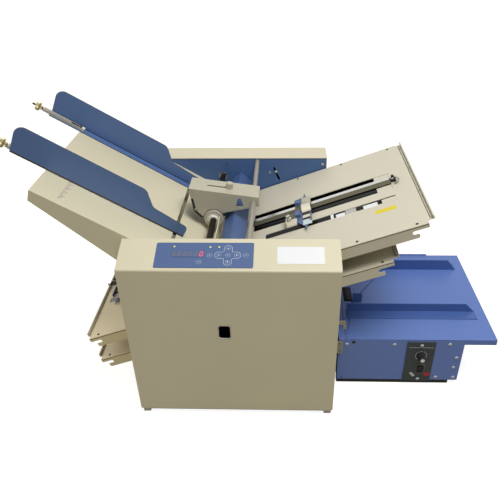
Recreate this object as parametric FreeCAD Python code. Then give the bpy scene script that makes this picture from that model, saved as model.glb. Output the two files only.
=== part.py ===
import FreeCAD, Part
import math
import os

# Desktop paper folding machine.  X runs from the feed side to the delivery side, Y from the
# front cover to the rear cover, Z up.  All lengths are in millimetres.

# ---- fits -------------------------------------------------------------------------------------
FIT = 0.3                 # gap between pieces that seat on each other
RUN = 0.05                # radial play of a running fit
SEAT = 0.05               # gap under a thin plate that lies on a panel
PAST = 1.0                # how far a cutting shape runs past the faces that it opens

# ---- body -------------------------------------------------------------------------------------
COVER_W = 400.0           # length of both covers along X
FRONT_DEPTH = 68.4        # front cover, front face to frame
FRAME_SPAN = 368.8        # inside distance between the two side frames
REAR_DEPTH = 67.6
COVER_BOTTOM = 12.6       # height of the covers' lower edge
FRONT_TOP = 364.0         # front edge of the sloping strip
COVER_TOP = 388.3
COVER_WALL = 1.5
COVER_ROUND = 4.0
FRAME_T = 3.0
BASE_T = 3.0
WINDOW_X, WINDOW_Z = 186.7, 223.2
WINDOW_W, WINDOW_H, WINDOW_R = 23.0, 32.0, 6.0
SKIRT_SET = 8.0           # skirt behind the covers' faces
SKIRT_LOW = 2.0           # height of the skirt's lower edge
FOOT_W, FOOT_D = 15.0, 26.0
FOOT_INSET = 3.0
TIE_R = 7.0
FEED_TIES = ((40.0, 40.0), (18.0, 300.0))           # from the covers' feed end
OUTLET_TIES = ((40.0, 40.0), (70.0, 205.0))         # from the covers' delivery end
TIE_SPIGOT_R = 4.0
ROD_X, ROD_Z, ROD_R = 234.0, 380.0, 5.0
ROD_SPIGOT_R = 3.5
ROD_COLLAR_R, ROD_COLLAR_L = 8.0, 4.0
FRAME_SLOT = ((273.4, 362.3), (285.4, 333.2))       # centres of the inclined slot's round ends
FRAME_SLOT_R = 2.6

# ---- sloping control panel --------------------------------------------------------------------
PANEL_X, PANEL_W = 67.5, 176.7
PANEL_V, PANEL_H = 6.4, 56.2        # along the slope of the strip
PANEL_T = 1.2
PANEL_R = 3.0
DISPLAY_X, DISPLAY_W = 97.0, 58.4
DISPLAY_V, DISPLAY_H = 29.9, 13.0
DISPLAY_PROUD = 0.4
KEY_R, KEY_RISE = 4.2, 0.5
KEY_X, KEY_V = 198.4, 34.0          # centre of the cross of keys
KEYS = ((0.0, 0.0), (0.0, 15.0), (0.0, -15.0), (-16.5, 0.0), (15.9, 0.0), (-32.8, 0.0),
        (32.3, 0.0), (-51.0, -15.0))

# ---- fold rollers -----------------------------------------------------------------------------
PLATE_ANGLE = 20.0        # rise of the fold plates towards the delivery side
ROLLER_PITCH = 30.0
NIP_GAP = 0.4
ROLLER_S = 280.6          # place of the roller column along the plates' slope
ROLLER_T = 206.5          # first roller, across the slope
STACK_ROLLERS = 5
FEEDER_ROLLER, DRIVE_ROLLER = 0, 2  # the rollers that carry the feeder's and the motor's pulleys
EXIT_X, EXIT_Z = 223.8, 149.4       # sixth roller, below the column
SHAFT_R = 6.0
BUSH_R, BUSH_FLANGE_R, BUSH_FLANGE_T = 10.0, 13.0, 1.5
SHAFT_PROUD = 1.0         # shaft end past the last piece that it carries
ROLLER_END_GAP = 3.0
GEAR_TEETH = 20
GEAR_W = 8.0
GEAR_ADDENDUM, GEAR_DEDENDUM = 1.1, 1.6
GEAR_PLAY = 0.5           # tooth thinner than half the pitch by this much
GEAR_FLANK = 20.0
GEAR_GAP = 3.5            # bush flange to gear
PULLEY_W = 10.0
PULLEY_GAP = 2.5
BELT_T = 2.0
BELT_W = 8.0

# ---- feeder -----------------------------------------------------------------------------------
TABLE_ANGLE = 31.2        # fall of the feed table towards the rollers
TABLE_END_X, TABLE_END_Z = 158.0, 301.57            # lower end of the table's top face
TABLE_L = 359.5
TABLE_EDGE = 22.0         # depth at the upper end
TABLE_SET = 4.9           # lean of the upper end
TABLE_UNDER = 11.1        # angle between underside and top
TABLE_KNEE = 212.8
TABLE_LIP = 12.0
TABLE_WALL = 1.5
SLOT_U, SLOT_W = 268.0, 7.0
SLOT_END = 15.0
GUIDE_T = 2.0
GUIDE_FRONT = 154.0       # inner faces, set to letter paper
PAPER_W = 216.0
GUIDE_U0, GUIDE_U1, GUIDE_U2 = -70.0, 180.0, 285.0
GUIDE_LEAN = 6.0
GUIDE_H, GUIDE_LOW = 59.5, 31.0
GUIDE_STEP = 27.0
GUIDE_ROUND, GUIDE_CURVE = 18.0, 16.0
FLANGE_W, FLANGE_T = 18.0, 1.5
PEG_R = 3.2
PEG_BLOCK_L, PEG_BLOCK_W, PEG_BLOCK_T = 18.0, 12.0, 5.0
BAR_U0, BAR_U1, BAR_W, BAR_H = -86.0, 8.0, 12.0, 5.0
BAR_SET = 2.8             # from a guide's face to its bar
FRONT_BAR_SHIFT = 8.0     # the front bar sits this far down the table from the rear one
THREAD_R, THREAD_L = 2.2, 24.0
KNOB_R, KNOB_T, KNOB_GAP = 9.5, 8.0, 8.0
HUB_R, HUB_L = 4.75, 6.0
WHEEL_X, WHEEL_Z = 149.5, 342.0
WHEEL_R, WHEEL_W = 20.0, 60.0
WHEEL_ROOM = 2.0          # from the wheel to the arm's cut-out
WHEEL_HUB_R, WHEEL_HUB_L = 9.0, 6.0
FEED_SHAFT_R = 6.5
GUARD_X, GUARD_Z = 193.0, 352.0
GUARD_SLOPE = 40.0
GUARD_LEFT, GUARD_RIGHT = 28.0, 36.0
GUARD_T = 1.5

# ---- separator arm ----------------------------------------------------------------------------
ARM_W = 54.0
ARM_WALL = 1.5
ARM_LEFT, ARM_TOP = 102.0, 412.0
ARM_RIGHT = 246.0
ARM_FALL = 8.28           # fall of the arm's top towards the rod
ARM_LOW = 371.0
STRIP_T = 5.0
STRIP_PATH = ((107.0, 388.5), (111.3, 360.0), (125.5, 344.5))
NOTCH_X, NOTCH_TOP, NOTCH_R = 205.8, 389.5, 4.5
NOTCH_FLARE = 8.0
ARM_SLOT_X0, ARM_SLOT_X1, ARM_SLOT_W = 137.0, 190.0, 4.6
ARM_KNOB_X, ARM_KNOB_R, ARM_KNOB_H = 183.0, 7.5, 12.0
ARM_SCREW_R = 2.0
ARM_NUT_R, ARM_NUT_T = 5.5, 3.0

# ---- fold plates ------------------------------------------------------------------------------
# each plate: its inner end along the slope, its top face across the slope, its length
RIGHT_PLATES = ((300.0, 205.0, 379.0), (300.0, 145.4, 300.5))
LEFT_PLATES = ((258.0, 167.0, 321.0), (258.0, 107.6, 327.0))
STOP_AT = (101.0, 236.0, 84.0, 90.0)
PLATE_SIDE = 3.6          # from each frame to the plates' side flanges
PLATE_T = 1.5
PLATE_DEPTH = 25.0
GAP_RIGHT, GAP_LEFT = 13.0, 5.0     # top face to the middle of the paper gap
GAP_HALF = 2.0
TONGUE_T = 9.0
HOOK_H = 7.5
HOOK_IN, TOE_IN = 33.0, 12.0
# outer ends, measured back from the lip's outer face: the skin's and the openings' ends, the
# bottom of the hook slot, the hook's toe, and the inner edge of the end bar's web
SKIN_END_RIGHT, SKIN_END_LEFT = 13.0, 7.0
OPEN_END_RIGHT, OPEN_END_LEFT = 51.0, 20.0
HOOK_END_RIGHT, HOOK_END_LEFT = 45.0, 31.0
HOOK_TOE_RIGHT, HOOK_TOE_LEFT = 33.5, 18.0
END_WEB_RIGHT, END_WEB_LEFT = 30.0, 16.0
LOWER_SHORT = 50.0
OPEN_A_Y, OPEN_A_W = 236.0, 72.0
OPEN_B_Y, OPEN_B_W = 189.0, 19.0
OPEN_Q0, OPEN_B_Q0 = 21.5, 51.0
END_LIP, END_RISE, END_SET = 2.5, 5.0, 13.0         # SET: from the plate's front edge
STUD_R, STUD_PIN = 3.5, 4.0
REST_Q, REST_R = 150.0, 4.5
RAIL_Y, RAIL_W = 257.0, 30.0
RAIL_LOW, RAIL_HIGH = -2.5, 3.5
RAIL_GROOVES, GROOVE_W, GROOVE_D = 4, 3.0, 1.5
TONGUE_Y, TONGUE_W, RAIL_TONGUE = 262.0, 20.0, 14.0
NUT_R, NUT_H = 6.0, 5.0
STOP_L = 54.0
STOP_EDGE = 1.0           # bracket's end to the thumbscrew's head
BLADE_T, BLADE_W = 2.0, 20.0
BLADE_BACK, BLADE_NOSE = 16.0, 6.0
BLADE_Y0, BLADE_Y1, BLADE_TIP = 168.0, 329.0, 18.0
CLAMP_Y0, CLAMP_W, CLAMP_H = 249.0, 46.0, 10.0
BRACKET_Y0, BRACKET_T = 213.0, 3.0
FINGER_Y, FINGER_W, FINGER_T = (242.0, 293.0), 9.0, 3.0
FINGER_SET = 4.0
STOP_KNOB_Y, STOP_KNOB_R, STOP_KNOB_H = 221.0, 5.0, 12.0
STOP_SCREW_R = 2.0

# ---- delivery unit ----------------------------------------------------------------------------
DEL_GAP, DEL_L = 15.0, 263.5        # from the covers' end to the box, and the box along X
DEL_INSET = 23.1          # from each frame's inner face to the box
DEL_LOW = 11.0
BOX_LEDGE = 18.0          # width of the box's top flange at its inner end
TRAY_TOP = 127.6
TRAY_AT, TRAY_L = 15.0, 314.2       # here and below, AT is measured from the box's inner end
TRAY_T = 1.5
TRAY_FLANGE = 14.0
STRIP_L, STRIP_D = 245.0, 15.0
RAIL_T = 1.5
FRONT_RAIL_Y, FRONT_RAIL_H, FRONT_FOOT = 184.0, 23.0, 26.0
REAR_RAIL_Y, REAR_RAIL_H = 348.5, 28.0
DRAIL_AT, DRAIL_L, DRAIL_SLANT = 23.0, 284.0, 22.0
KICK_AT, KICK_R, KICK_Y, KICK_W = 31.0, 11.0, 247.0, 46.0
KICK_PROUD = 2.0
KICK_OPEN_L, KICK_OPEN_W = 18.6, 54.0
TAB_AT, TAB_L, TAB_Y, TAB_H = 39.5, 22.0, 217.0, 25.0
LIP_AT, LIP_L, LIP_H = 175.0, 75.0, 4.0
CTRL_AT, CTRL_W, CTRL_LOW, CTRL_H, CTRL_T = 144.0, 59.5, 9.5, 111.5, 2.0
CTRL_CASE_IN, CTRL_CASE_DEPTH = 6.0, 70.0
DIAL_AT, DIAL_Z, DIAL_R, DIAL_L = 32.0, 84.0, 8.5, 15.5         # from the plate's left edge
DIAL_SHAFT_R, DIAL_SHAFT_L = 3.0, 13.5
ROCKER_AT, ROCKER_Z, ROCKER_W, ROCKER_H = 34.3, 45.9, 13.0, 19.0
ROCKER_TILT = 8.0
ROCKER_PLAY = 1.0         # above and below the rocker, for its tilt
ROCKER_DEPTH, ROCKER_PROUD, ROCKER_DISH = 9.0, 1.0, 1.0
ROCKER_ROOM = 4.0         # depth behind the rocker
BEZEL, BEZEL_T = 2.5, 1.2
SCREW_HEAD_R, SCREW_HEAD_T, SCREW_R, SCREW_L = 3.8, 1.6, 1.9, 5.0
BOX_SCREWS_AT = ((17.0, 113.6), (117.0, 113.4), (232.5, 114.8), (252.5, 77.0), (253.8, 49.7),
                 (254.0, 19.5), (216.3, 19.5))
CTRL_SCREWS_AT = ((30.5, 112.7), (33.2, 15.9))      # from the plate's left edge
PLATE_SCREWS_BACK = (20.0, 131.0, 239.0)            # from the skin's end
PLATE_SCREW_EDGE = 8.0
PLATE_SCREW_R, PLATE_SCREW_T = 2.6, 1.0
DOCK_LOW, DOCK_H, DOCK_T = 89.7, 32.3, 3.0
DOCK_IN, DOCK_OUT, DOCK_STEP = 30.0, 8.0, 2.0
DOCK_HOLES, DOCK_HOLE_R, DOCK_HOLE_EDGE = (6.5, 26.5), 2.0, 6.0
HOOK_LOW, HOOK_TALL, HOOK_IN_FRAME, HOOK_PAST = 174.0, 21.0, 20.0, 25.4
HOOK_NECK, HOOK_LIP, HOOK_SHEET = 9.0, 5.0, 1.5

# ---- motors -----------------------------------------------------------------------------------
MOTOR_X, MOTOR_Z, MOTOR_R, MOTOR_L = 120.0, 64.0, 36.0, 130.0
MOTOR_FLANGE_R, MOTOR_FLANGE_T = 44.0, 4.0
MOTOR_SHAFT_R, MOTOR_SHAFT_IN, MOTOR_BORE_L = 4.0, 25.0, 30.0
MOTOR_HOLE_PLAY = 2.0
MOTOR_PULLEY_R, ROLLER_PULLEY_R = 12.0, 22.0
FEED_PULLEY_R, FEEDER_DRIVE_R = 20.0, 15.0
KICK_MOTOR_R, KICK_MOTOR_L = 10.0, 60.0
KICK_MOTOR_GAP, KICK_MOTOR_DROP = 6.0, 6.0
KICK_SHAFT_R, KICK_SHAFT_OUT = 4.0, 20.0

# ---- places worked out from the sizes above ------------------------------------------------------
FRAME_F = FRONT_DEPTH                     # inner face of the front frame
FRAME_R = FRONT_DEPTH + FRAME_SPAN        # inner face of the rear frame
BACK = FRAME_R + REAR_DEPTH
MID_Y = (FRAME_F + FRAME_R) / 2
PLATE_Y0 = FRAME_F + PLATE_SIDE
PLATE_W = FRAME_SPAN - 2 * PLATE_SIDE
STRIP_ANGLE = math.degrees(math.atan2(COVER_TOP - FRONT_TOP, FRONT_DEPTH))
BASE_TOP = COVER_BOTTOM + BASE_T
ROLLER_R = (ROLLER_PITCH - NIP_GAP) / 2
GUIDE_REAR = GUIDE_FRONT + PAPER_W
GEAR_Y = FRAME_R + FRAME_T + BUSH_FLANGE_T + GEAR_GAP
FEED_PULLEY_Y = GEAR_Y + GEAR_W + PULLEY_GAP
DRIVE_PULLEY_Y = FEED_PULLEY_Y + PULLEY_W + PULLEY_GAP
DEL_Y0 = FRAME_F + DEL_INSET
DEL_Y1 = FRAME_R - DEL_INSET
BOX_TOP = TRAY_TOP - TRAY_T - FIT
KICK_Z = TRAY_TOP + KICK_PROUD - KICK_R
TIES = FEED_TIES + tuple((COVER_W - x, z) for x, z in OUTLET_TIES)
PLATES = [(side, *plate) for pair in zip(RIGHT_PLATES, LEFT_PLATES)
          for side, plate in zip((1, -1), pair)]      # 1: towards the delivery, -1: the feeder
TABLE_X = TABLE_END_X - TABLE_L * math.cos(math.radians(TABLE_ANGLE))
TABLE_Z = TABLE_END_Z + TABLE_L * math.sin(math.radians(TABLE_ANGLE))
DEL_X0 = COVER_W + DEL_GAP
DEL_X1 = DEL_X0 + DEL_L
TRAY_X0 = DEL_X0 + TRAY_AT
TRAY_X1 = TRAY_X0 + TRAY_L
STRIP_X1 = DEL_X0 + STRIP_L
DRAIL_X0 = DEL_X0 + DRAIL_AT
DRAIL_X1 = DRAIL_X0 + DRAIL_L
KICK_X = DEL_X0 + KICK_AT
TAB_X = DEL_X0 + TAB_AT
LIP_X0 = DEL_X0 + LIP_AT
LIP_X1 = LIP_X0 + LIP_L
CTRL_X = DEL_X0 + CTRL_AT
DIAL_X = CTRL_X + DIAL_AT
ROCKER_X = CTRL_X + ROCKER_AT
BOX_SCREWS = [(DEL_X0 + x, z) for x, z in BOX_SCREWS_AT]
CTRL_SCREWS = [(CTRL_X + x, z) for x, z in CTRL_SCREWS_AT]
STOP_BASE = RAIL_HIGH + FIT               # underside of the stop's blade


# ---- helpers ------------------------------------------------------------------------------------
def vec(x, y, z):
    return FreeCAD.Vector(x, y, z)


def box(x0, x1, y0, y1, z0, z1):
    return Part.makeBox(x1 - x0, y1 - y0, z1 - z0, vec(x0, y0, z0))


def rod(x, z, radius, y0, y1):
    """A cylinder along Y."""
    return Part.makeCylinder(radius, y1 - y0, vec(x, y0, z), vec(0, 1, 0))


def ring(x, z, outer, inner, y0, y1):
    return rod(x, z, outer, y0, y1).cut(rod(x, z, inner, y0, y1))


def post(x, y, radius, z0, z1):
    """A cylinder along Z."""
    return Part.makeCylinder(radius, z1 - z0, vec(x, y, z0))


def wire(points, place):
    """A closed wire through (a, b) or (a, b, radius) corners; place maps (a, b) to a vector."""
    corners = [(vec(p[0], p[1], 0), p[2] if len(p) > 2 else 0.0) for p in points]
    runs = []
    for i, (here, radius) in enumerate(corners):
        before = (corners[i - 1][0] - here).normalize()
        after = (corners[(i + 1) % len(corners)][0] - here).normalize()
        half = before.getAngle(after) / 2
        reach = radius / math.tan(half)
        middle = here + (before + after).normalize() * (radius / math.sin(half) - radius)
        runs.append((here + before * reach, middle, here + after * reach, radius))
    edges = []
    for i, (start, middle, end, radius) in enumerate(runs):
        if radius:
            edges.append(Part.Arc(*[place(p.x, p.y) for p in (start, middle, end)]).toShape())
        following = runs[(i + 1) % len(runs)][0]
        edges.append(Part.LineSegment(place(end.x, end.y),
                                      place(following.x, following.y)).toShape())
    return Part.Wire(edges)


def prism_y(points, y0, y1):
    """Extrude an XZ outline along Y."""
    face = Part.Face(wire(points, lambda a, b: vec(a, y0, b)))
    return face.extrude(vec(0, y1 - y0, 0))


def prism_x(points, x0, x1):
    """Extrude a YZ outline along X."""
    face = Part.Face(wire(points, lambda a, b: vec(x0, a, b)))
    return face.extrude(vec(x1 - x0, 0, 0))


def prism_z(points, z0, z1):
    """Extrude an XY outline along Z."""
    face = Part.Face(wire(points, lambda a, b: vec(a, b, z0)))
    return face.extrude(vec(0, 0, z1 - z0))


def crossing(p, u, q, v):
    """The point where the line from p along u meets the line from q along v."""
    k = ((q[0] - p[0]) * v[1] - (q[1] - p[1]) * v[0]) / (u[0] * v[1] - u[1] * v[0])
    return (p[0] + k * u[0], p[1] + k * u[1])


def shifted(path, distance, closed=False):
    """A polyline moved sideways; a positive distance is to the right of its direction."""
    count = len(path)
    sides = []
    for i in range(count if closed else count - 1):
        a, b = path[i], path[(i + 1) % count]
        length = math.hypot(b[0] - a[0], b[1] - a[1])
        u = ((b[0] - a[0]) / length, (b[1] - a[1]) / length)
        sides.append(((a[0] + u[1] * distance, a[1] - u[0] * distance), u, length))
    inner = range(count) if closed else range(1, count - 1)
    moved = [crossing(sides[i - 1][0], sides[i - 1][1], sides[i][0], sides[i][1]) for i in inner]
    if closed:
        return moved
    last, u, length = sides[-1]
    return [sides[0][0]] + moved + [(last[0] + u[0] * length, last[1] + u[1] * length)]


def fuse(first, *others):
    return first.fuse(list(others)).removeSplitter()


def on_slope(shape, angle, x, z):
    """Turn a shape made in a level frame about Y, then move its origin to (x, z)."""
    shape.rotate(vec(0, 0, 0), vec(0, 1, 0), angle)
    shape.translate(vec(x, 0, z))
    return shape


def on_table(shape):
    """From the table's frame: X down the table, Z off its top face."""
    return on_slope(shape, TABLE_ANGLE, TABLE_X, TABLE_Z)


def on_strip(shape):
    """From the strip's frame: Y up the sloping strip, Z off its face."""
    shape.rotate(vec(0, 0, 0), vec(1, 0, 0), STRIP_ANGLE)
    shape.translate(vec(0, 0, FRONT_TOP))
    return shape


def plate_point(s, t):
    a = math.radians(PLATE_ANGLE)
    return (s * math.cos(a) - t * math.sin(a), s * math.sin(a) + t * math.cos(a))


def on_plate(shape, index):
    """From a plate's frame: X outwards from its inner end, Z off its top face."""
    side, s_in, top, length = PLATES[index]
    if side < 0:
        shape = shape.mirror(vec(0, 0, 0), vec(1, 0, 0))
    return on_slope(shape, -PLATE_ANGLE, *plate_point(s_in, top))


def by_side(index, right, left):
    """The value for the side of the machine that a plate is on."""
    return right if PLATES[index][0] > 0 else left


def plate_gap(index):
    return by_side(index, GAP_RIGHT, GAP_LEFT)


def skin_end(index):
    return PLATES[index][-1] - by_side(index, SKIN_END_RIGHT, SKIN_END_LEFT)


def open_end(index):
    return PLATES[index][-1] - by_side(index, OPEN_END_RIGHT, OPEN_END_LEFT)


def roller_centres():
    column = [plate_point(ROLLER_S, ROLLER_T - i * ROLLER_PITCH) for i in range(STACK_ROLLERS)]
    return column + [(EXIT_X, EXIT_Z)]


def stud_centres():
    """Per plate: the hook stud and the rest stud, as ((x, z), radius)."""
    studs = []
    for side, s_in, top, length in PLATES:
        hook = plate_point(s_in + side * (HOOK_IN - HOOK_H / 2), top - TONGUE_T - HOOK_H / 2)
        rest = plate_point(s_in + side * REST_Q, top - PLATE_DEPTH - FIT - REST_R)
        studs += [(hook, STUD_R), (rest, REST_R)]
    return studs


# ---- body -------------------------------------------------------------------------------------
def front_cover():
    outline = [(0.0, COVER_BOTTOM), (0.0, FRONT_TOP, COVER_ROUND), (FRONT_DEPTH, COVER_TOP),
               (FRONT_DEPTH, COVER_BOTTOM)]
    body = prism_x(outline, 0, COVER_W)
    rise = math.tan(math.radians(STRIP_ANGLE))
    drop = COVER_WALL / math.cos(math.radians(STRIP_ANGLE))
    front = COVER_WALL
    hollow = [(front, COVER_BOTTOM - COVER_WALL), (front, FRONT_TOP + front * rise - drop),
              (FRONT_DEPTH + PAST, FRONT_TOP + (FRONT_DEPTH + PAST) * rise - drop),
              (FRONT_DEPTH + PAST, COVER_BOTTOM - COVER_WALL)]
    body = body.cut(prism_x(hollow, COVER_WALL, COVER_W - COVER_WALL))
    half_w, half_h = WINDOW_W / 2, WINDOW_H / 2
    hole = [(WINDOW_X - half_w, WINDOW_Z - half_h, WINDOW_R),
            (WINDOW_X + half_w, WINDOW_Z - half_h, WINDOW_R),
            (WINDOW_X + half_w, WINDOW_Z + half_h, WINDOW_R),
            (WINDOW_X - half_w, WINDOW_Z + half_h, WINDOW_R)]
    return body.cut(prism_y(hole, -PAST, COVER_WALL + PAST))


def rear_cover():
    outline = [(FRAME_R, COVER_BOTTOM), (BACK, COVER_BOTTOM), (BACK, COVER_TOP, COVER_ROUND),
               (FRAME_R, COVER_TOP)]
    body = prism_x(outline, 0, COVER_W)
    hollow = box(COVER_WALL, COVER_W - COVER_WALL, FRAME_R - PAST, BACK - COVER_WALL,
                 COVER_BOTTOM - COVER_WALL, COVER_TOP - COVER_WALL)
    return body.cut(hollow)


def side_frame(inner, outward):
    """A frame plate between the covers' walls, drilled for everything that it carries."""
    x0 = COVER_WALL + FIT
    rise = math.tan(math.radians(STRIP_ANGLE))
    top = COVER_TOP - COVER_WALL / math.cos(math.radians(STRIP_ANGLE)) - FRAME_T * rise - FIT
    y0, y1 = sorted((inner, inner + outward * FRAME_T))
    plate = box(x0, COVER_W - x0, y0, y1, BASE_TOP + FIT, top)
    holes = [rod(x, z, BUSH_R + RUN, y0 - PAST, y1 + PAST) for x, z in shaft_centres()]
    holes += [rod(x, z, TIE_SPIGOT_R + RUN, y0 - PAST, y1 + PAST) for x, z in TIES]
    holes += [rod(x, z, r + RUN, y0 - PAST, y1 + PAST) for (x, z), r in stud_centres()]
    holes.append(rod(ROD_X, ROD_Z, ROD_SPIGOT_R + RUN, y0 - PAST, y1 + PAST))
    (low_x, low_z), (high_x, high_z) = FRAME_SLOT
    holes.append(loop((low_x, low_z), FRAME_SLOT_R, (high_x, high_z), FRAME_SLOT_R, y0 - PAST,
                      y1 + PAST))
    if outward > 0:
        holes.append(rod(MOTOR_X, MOTOR_Z, MOTOR_SHAFT_R + MOTOR_HOLE_PLAY, y0 - PAST, y1 + PAST))
    return plate.cut(holes)


def shaft_centres():
    return roller_centres() + [(WHEEL_X, WHEEL_Z)]


def base_plate():
    inset = COVER_WALL + FIT
    plate = box(inset, COVER_W - inset, inset, BACK - inset, COVER_BOTTOM, BASE_TOP)
    x0 = FOOT_INSET + FOOT_W + FIT
    skirts = [box(x0, COVER_W - x0, y, y + COVER_WALL, SKIRT_LOW, COVER_BOTTOM)
              for y in (SKIRT_SET, BACK - SKIRT_SET - COVER_WALL)]
    return fuse(plate, *skirts)


def corner_feet():
    feet = []
    for x in (FOOT_INSET, COVER_W - FOOT_INSET - FOOT_W):
        for y in (FOOT_INSET, BACK - FOOT_INSET - FOOT_D):
            feet.append(box(x, x + FOOT_W, y, y + FOOT_D, 0, COVER_BOTTOM - FIT))
    return feet


def tie_rods():
    rods = []
    for x, z in TIES:
        bar = rod(x, z, TIE_R, FRAME_F + FIT, FRAME_R - FIT)
        spigot = rod(x, z, TIE_SPIGOT_R, FRAME_F - FRAME_T, FRAME_R + FRAME_T)
        rods.append(fuse(bar, spigot))
    return rods


def arm_pivot_rod():
    bar = rod(ROD_X, ROD_Z, ROD_R, FRAME_F + FIT, FRAME_R - FIT)
    spigot = rod(ROD_X, ROD_Z, ROD_SPIGOT_R, FRAME_F - FRAME_T, FRAME_R + FRAME_T)
    collar = rod(ROD_X, ROD_Z, ROD_COLLAR_R, FRAME_F + FIT, FRAME_F + FIT + ROD_COLLAR_L)
    return fuse(bar, spigot, collar)


def bush(x, z, bore, inner, outward):
    y0, y1 = sorted((inner, inner + outward * (FRAME_T + FIT)))
    f0, f1 = sorted((inner + outward * (FRAME_T + FIT),
                     inner + outward * (FRAME_T + FIT + BUSH_FLANGE_T)))
    sleeve = fuse(rod(x, z, BUSH_R, y0, y1), rod(x, z, BUSH_FLANGE_R, f0, f1))
    return sleeve.cut(rod(x, z, bore, min(y0, f0) - PAST, max(y1, f1) + PAST))


def shaft_bushes():
    bushes = []
    for i, (x, z) in enumerate(shaft_centres()):
        bore = (FEED_SHAFT_R if i == len(roller_centres()) else SHAFT_R) + RUN
        bushes += [bush(x, z, bore, FRAME_F, -1), bush(x, z, bore, FRAME_R, 1)]
    return bushes


def plate_studs():
    """Hook and rest studs, through both frames and just past the plates' side flanges."""
    studs = []
    for (x, z), radius in stud_centres():
        studs.append(rod(x, z, radius, FRAME_F - FRAME_T, PLATE_Y0 + STUD_PIN))
        studs.append(rod(x, z, radius, PLATE_Y0 + PLATE_W - STUD_PIN, FRAME_R + FRAME_T))
    return studs


def roller_guard():
    a = math.radians(GUARD_SLOPE)
    left = (GUARD_X - GUARD_LEFT * math.cos(a), GUARD_Z - GUARD_LEFT * math.sin(a))
    right = (GUARD_X + GUARD_RIGHT * math.cos(a), GUARD_Z - GUARD_RIGHT * math.sin(a))
    over = [left, (GUARD_X, GUARD_Z), right]
    under = shifted(over, GUARD_T)
    return prism_y(over + under[::-1], FRAME_F + FIT, FRAME_R - FIT)


def control_panel():
    x1, v1 = PANEL_X + PANEL_W, PANEL_V + PANEL_H
    plate = prism_z([(PANEL_X, PANEL_V, PANEL_R), (x1, PANEL_V, PANEL_R), (x1, v1, PANEL_R),
                     (PANEL_X, v1, PANEL_R)], SEAT, SEAT + PANEL_T)
    domes = [post(KEY_X + dx, KEY_V + dv, KEY_R, SEAT + PANEL_T, SEAT + PANEL_T + KEY_RISE)
             for dx, dv in KEYS]
    slot = box(DISPLAY_X - FIT, DISPLAY_X + DISPLAY_W + FIT, DISPLAY_V - FIT,
               DISPLAY_V + DISPLAY_H + FIT, 0, PANEL_T + PAST)
    return on_strip(fuse(plate, *domes).cut(slot))


def display_window():
    return on_strip(box(DISPLAY_X, DISPLAY_X + DISPLAY_W, DISPLAY_V, DISPLAY_V + DISPLAY_H, SEAT,
                        SEAT + PANEL_T + DISPLAY_PROUD))


# ---- feeder -----------------------------------------------------------------------------------
def feed_table():
    fall = math.tan(math.radians(TABLE_UNDER))
    knee = -TABLE_EDGE - (TABLE_KNEE - TABLE_SET) * fall
    outline = [(0.0, 0.0), (TABLE_L, 0.0), (TABLE_L, -TABLE_LIP), (TABLE_KNEE, knee),
               (TABLE_SET, -TABLE_EDGE)]
    y0, y1 = FRAME_F + FIT, FRAME_R - FIT
    body = prism_y(outline, y0, y1)
    hollow = shifted(outline, TABLE_WALL, closed=True)
    body = body.cut(prism_y(hollow, y0 + TABLE_WALL, y1 - TABLE_WALL))
    slot = box(SLOT_U - SLOT_W / 2, SLOT_U + SLOT_W / 2, y0 + SLOT_END, y1 - SLOT_END,
               -TABLE_WALL - PAST, PAST)
    return on_table(body.cut(slot))


def side_guide(face, inward):
    """A paper guide: upright sheet, flange on the table, and a peg that runs in the slot."""
    y0, y1 = sorted((face, face - inward * GUIDE_T))
    low = FIT
    sheet = prism_y([(GUIDE_U0, low), (GUIDE_U0 - GUIDE_LEAN, GUIDE_H, GUIDE_ROUND),
                     (GUIDE_U1, GUIDE_H, GUIDE_CURVE),
                     (GUIDE_U1 + GUIDE_STEP, GUIDE_LOW, GUIDE_CURVE),
                     (GUIDE_U2, GUIDE_LOW - GUIDE_LEAN, GUIDE_ROUND / 2), (GUIDE_U2, low)], y0, y1)
    f0, f1 = sorted((face - inward * GUIDE_T, face + inward * FLANGE_W))
    flange = box(GUIDE_U0, GUIDE_U2, f0, f1, low, low + FLANGE_T)
    peg_y = face + inward * FLANGE_W / 2
    block_top = -TABLE_WALL - FIT
    peg = post(SLOT_U, peg_y, PEG_R, block_top, low + FLANGE_T)
    block = box(SLOT_U - PEG_BLOCK_L / 2, SLOT_U + PEG_BLOCK_L / 2, peg_y - PEG_BLOCK_W / 2,
                peg_y + PEG_BLOCK_W / 2, block_top - PEG_BLOCK_T, block_top)
    return on_table(fuse(sheet, flange, peg, block))


def bar_height():
    return FIT + FLANGE_T + SEAT


def bar_centre_y(face, inward):
    return face + inward * (BAR_SET + BAR_W / 2)


def adjuster_bar(face, inward, shift):
    """The ruled bar on the flange, with the threaded end that carries the knob."""
    y = bar_centre_y(face, inward)
    low = bar_height()
    u0 = BAR_U0 + shift
    bar = box(u0, BAR_U1 + shift, y - BAR_W / 2, y + BAR_W / 2, low, low + BAR_H)
    thread = Part.makeCylinder(THREAD_R, THREAD_L, vec(u0 - THREAD_L, y, low + BAR_H / 2),
                               vec(1, 0, 0))
    return on_table(fuse(bar, thread))


def adjuster_knob(face, inward, shift):
    y = bar_centre_y(face, inward)
    z = bar_height() + BAR_H / 2
    start = BAR_U0 + shift - KNOB_GAP - KNOB_T
    knob = Part.makeCylinder(KNOB_R, KNOB_T, vec(start, y, z), vec(1, 0, 0))
    hub = Part.makeCylinder(HUB_R, HUB_L, vec(start + KNOB_T, y, z), vec(1, 0, 0))
    bore = Part.makeCylinder(THREAD_R + RUN, 2 * KNOB_T + KNOB_GAP, vec(start - PAST, y, z),
                             vec(1, 0, 0))
    return on_table(fuse(knob, hub).cut(bore))


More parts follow.
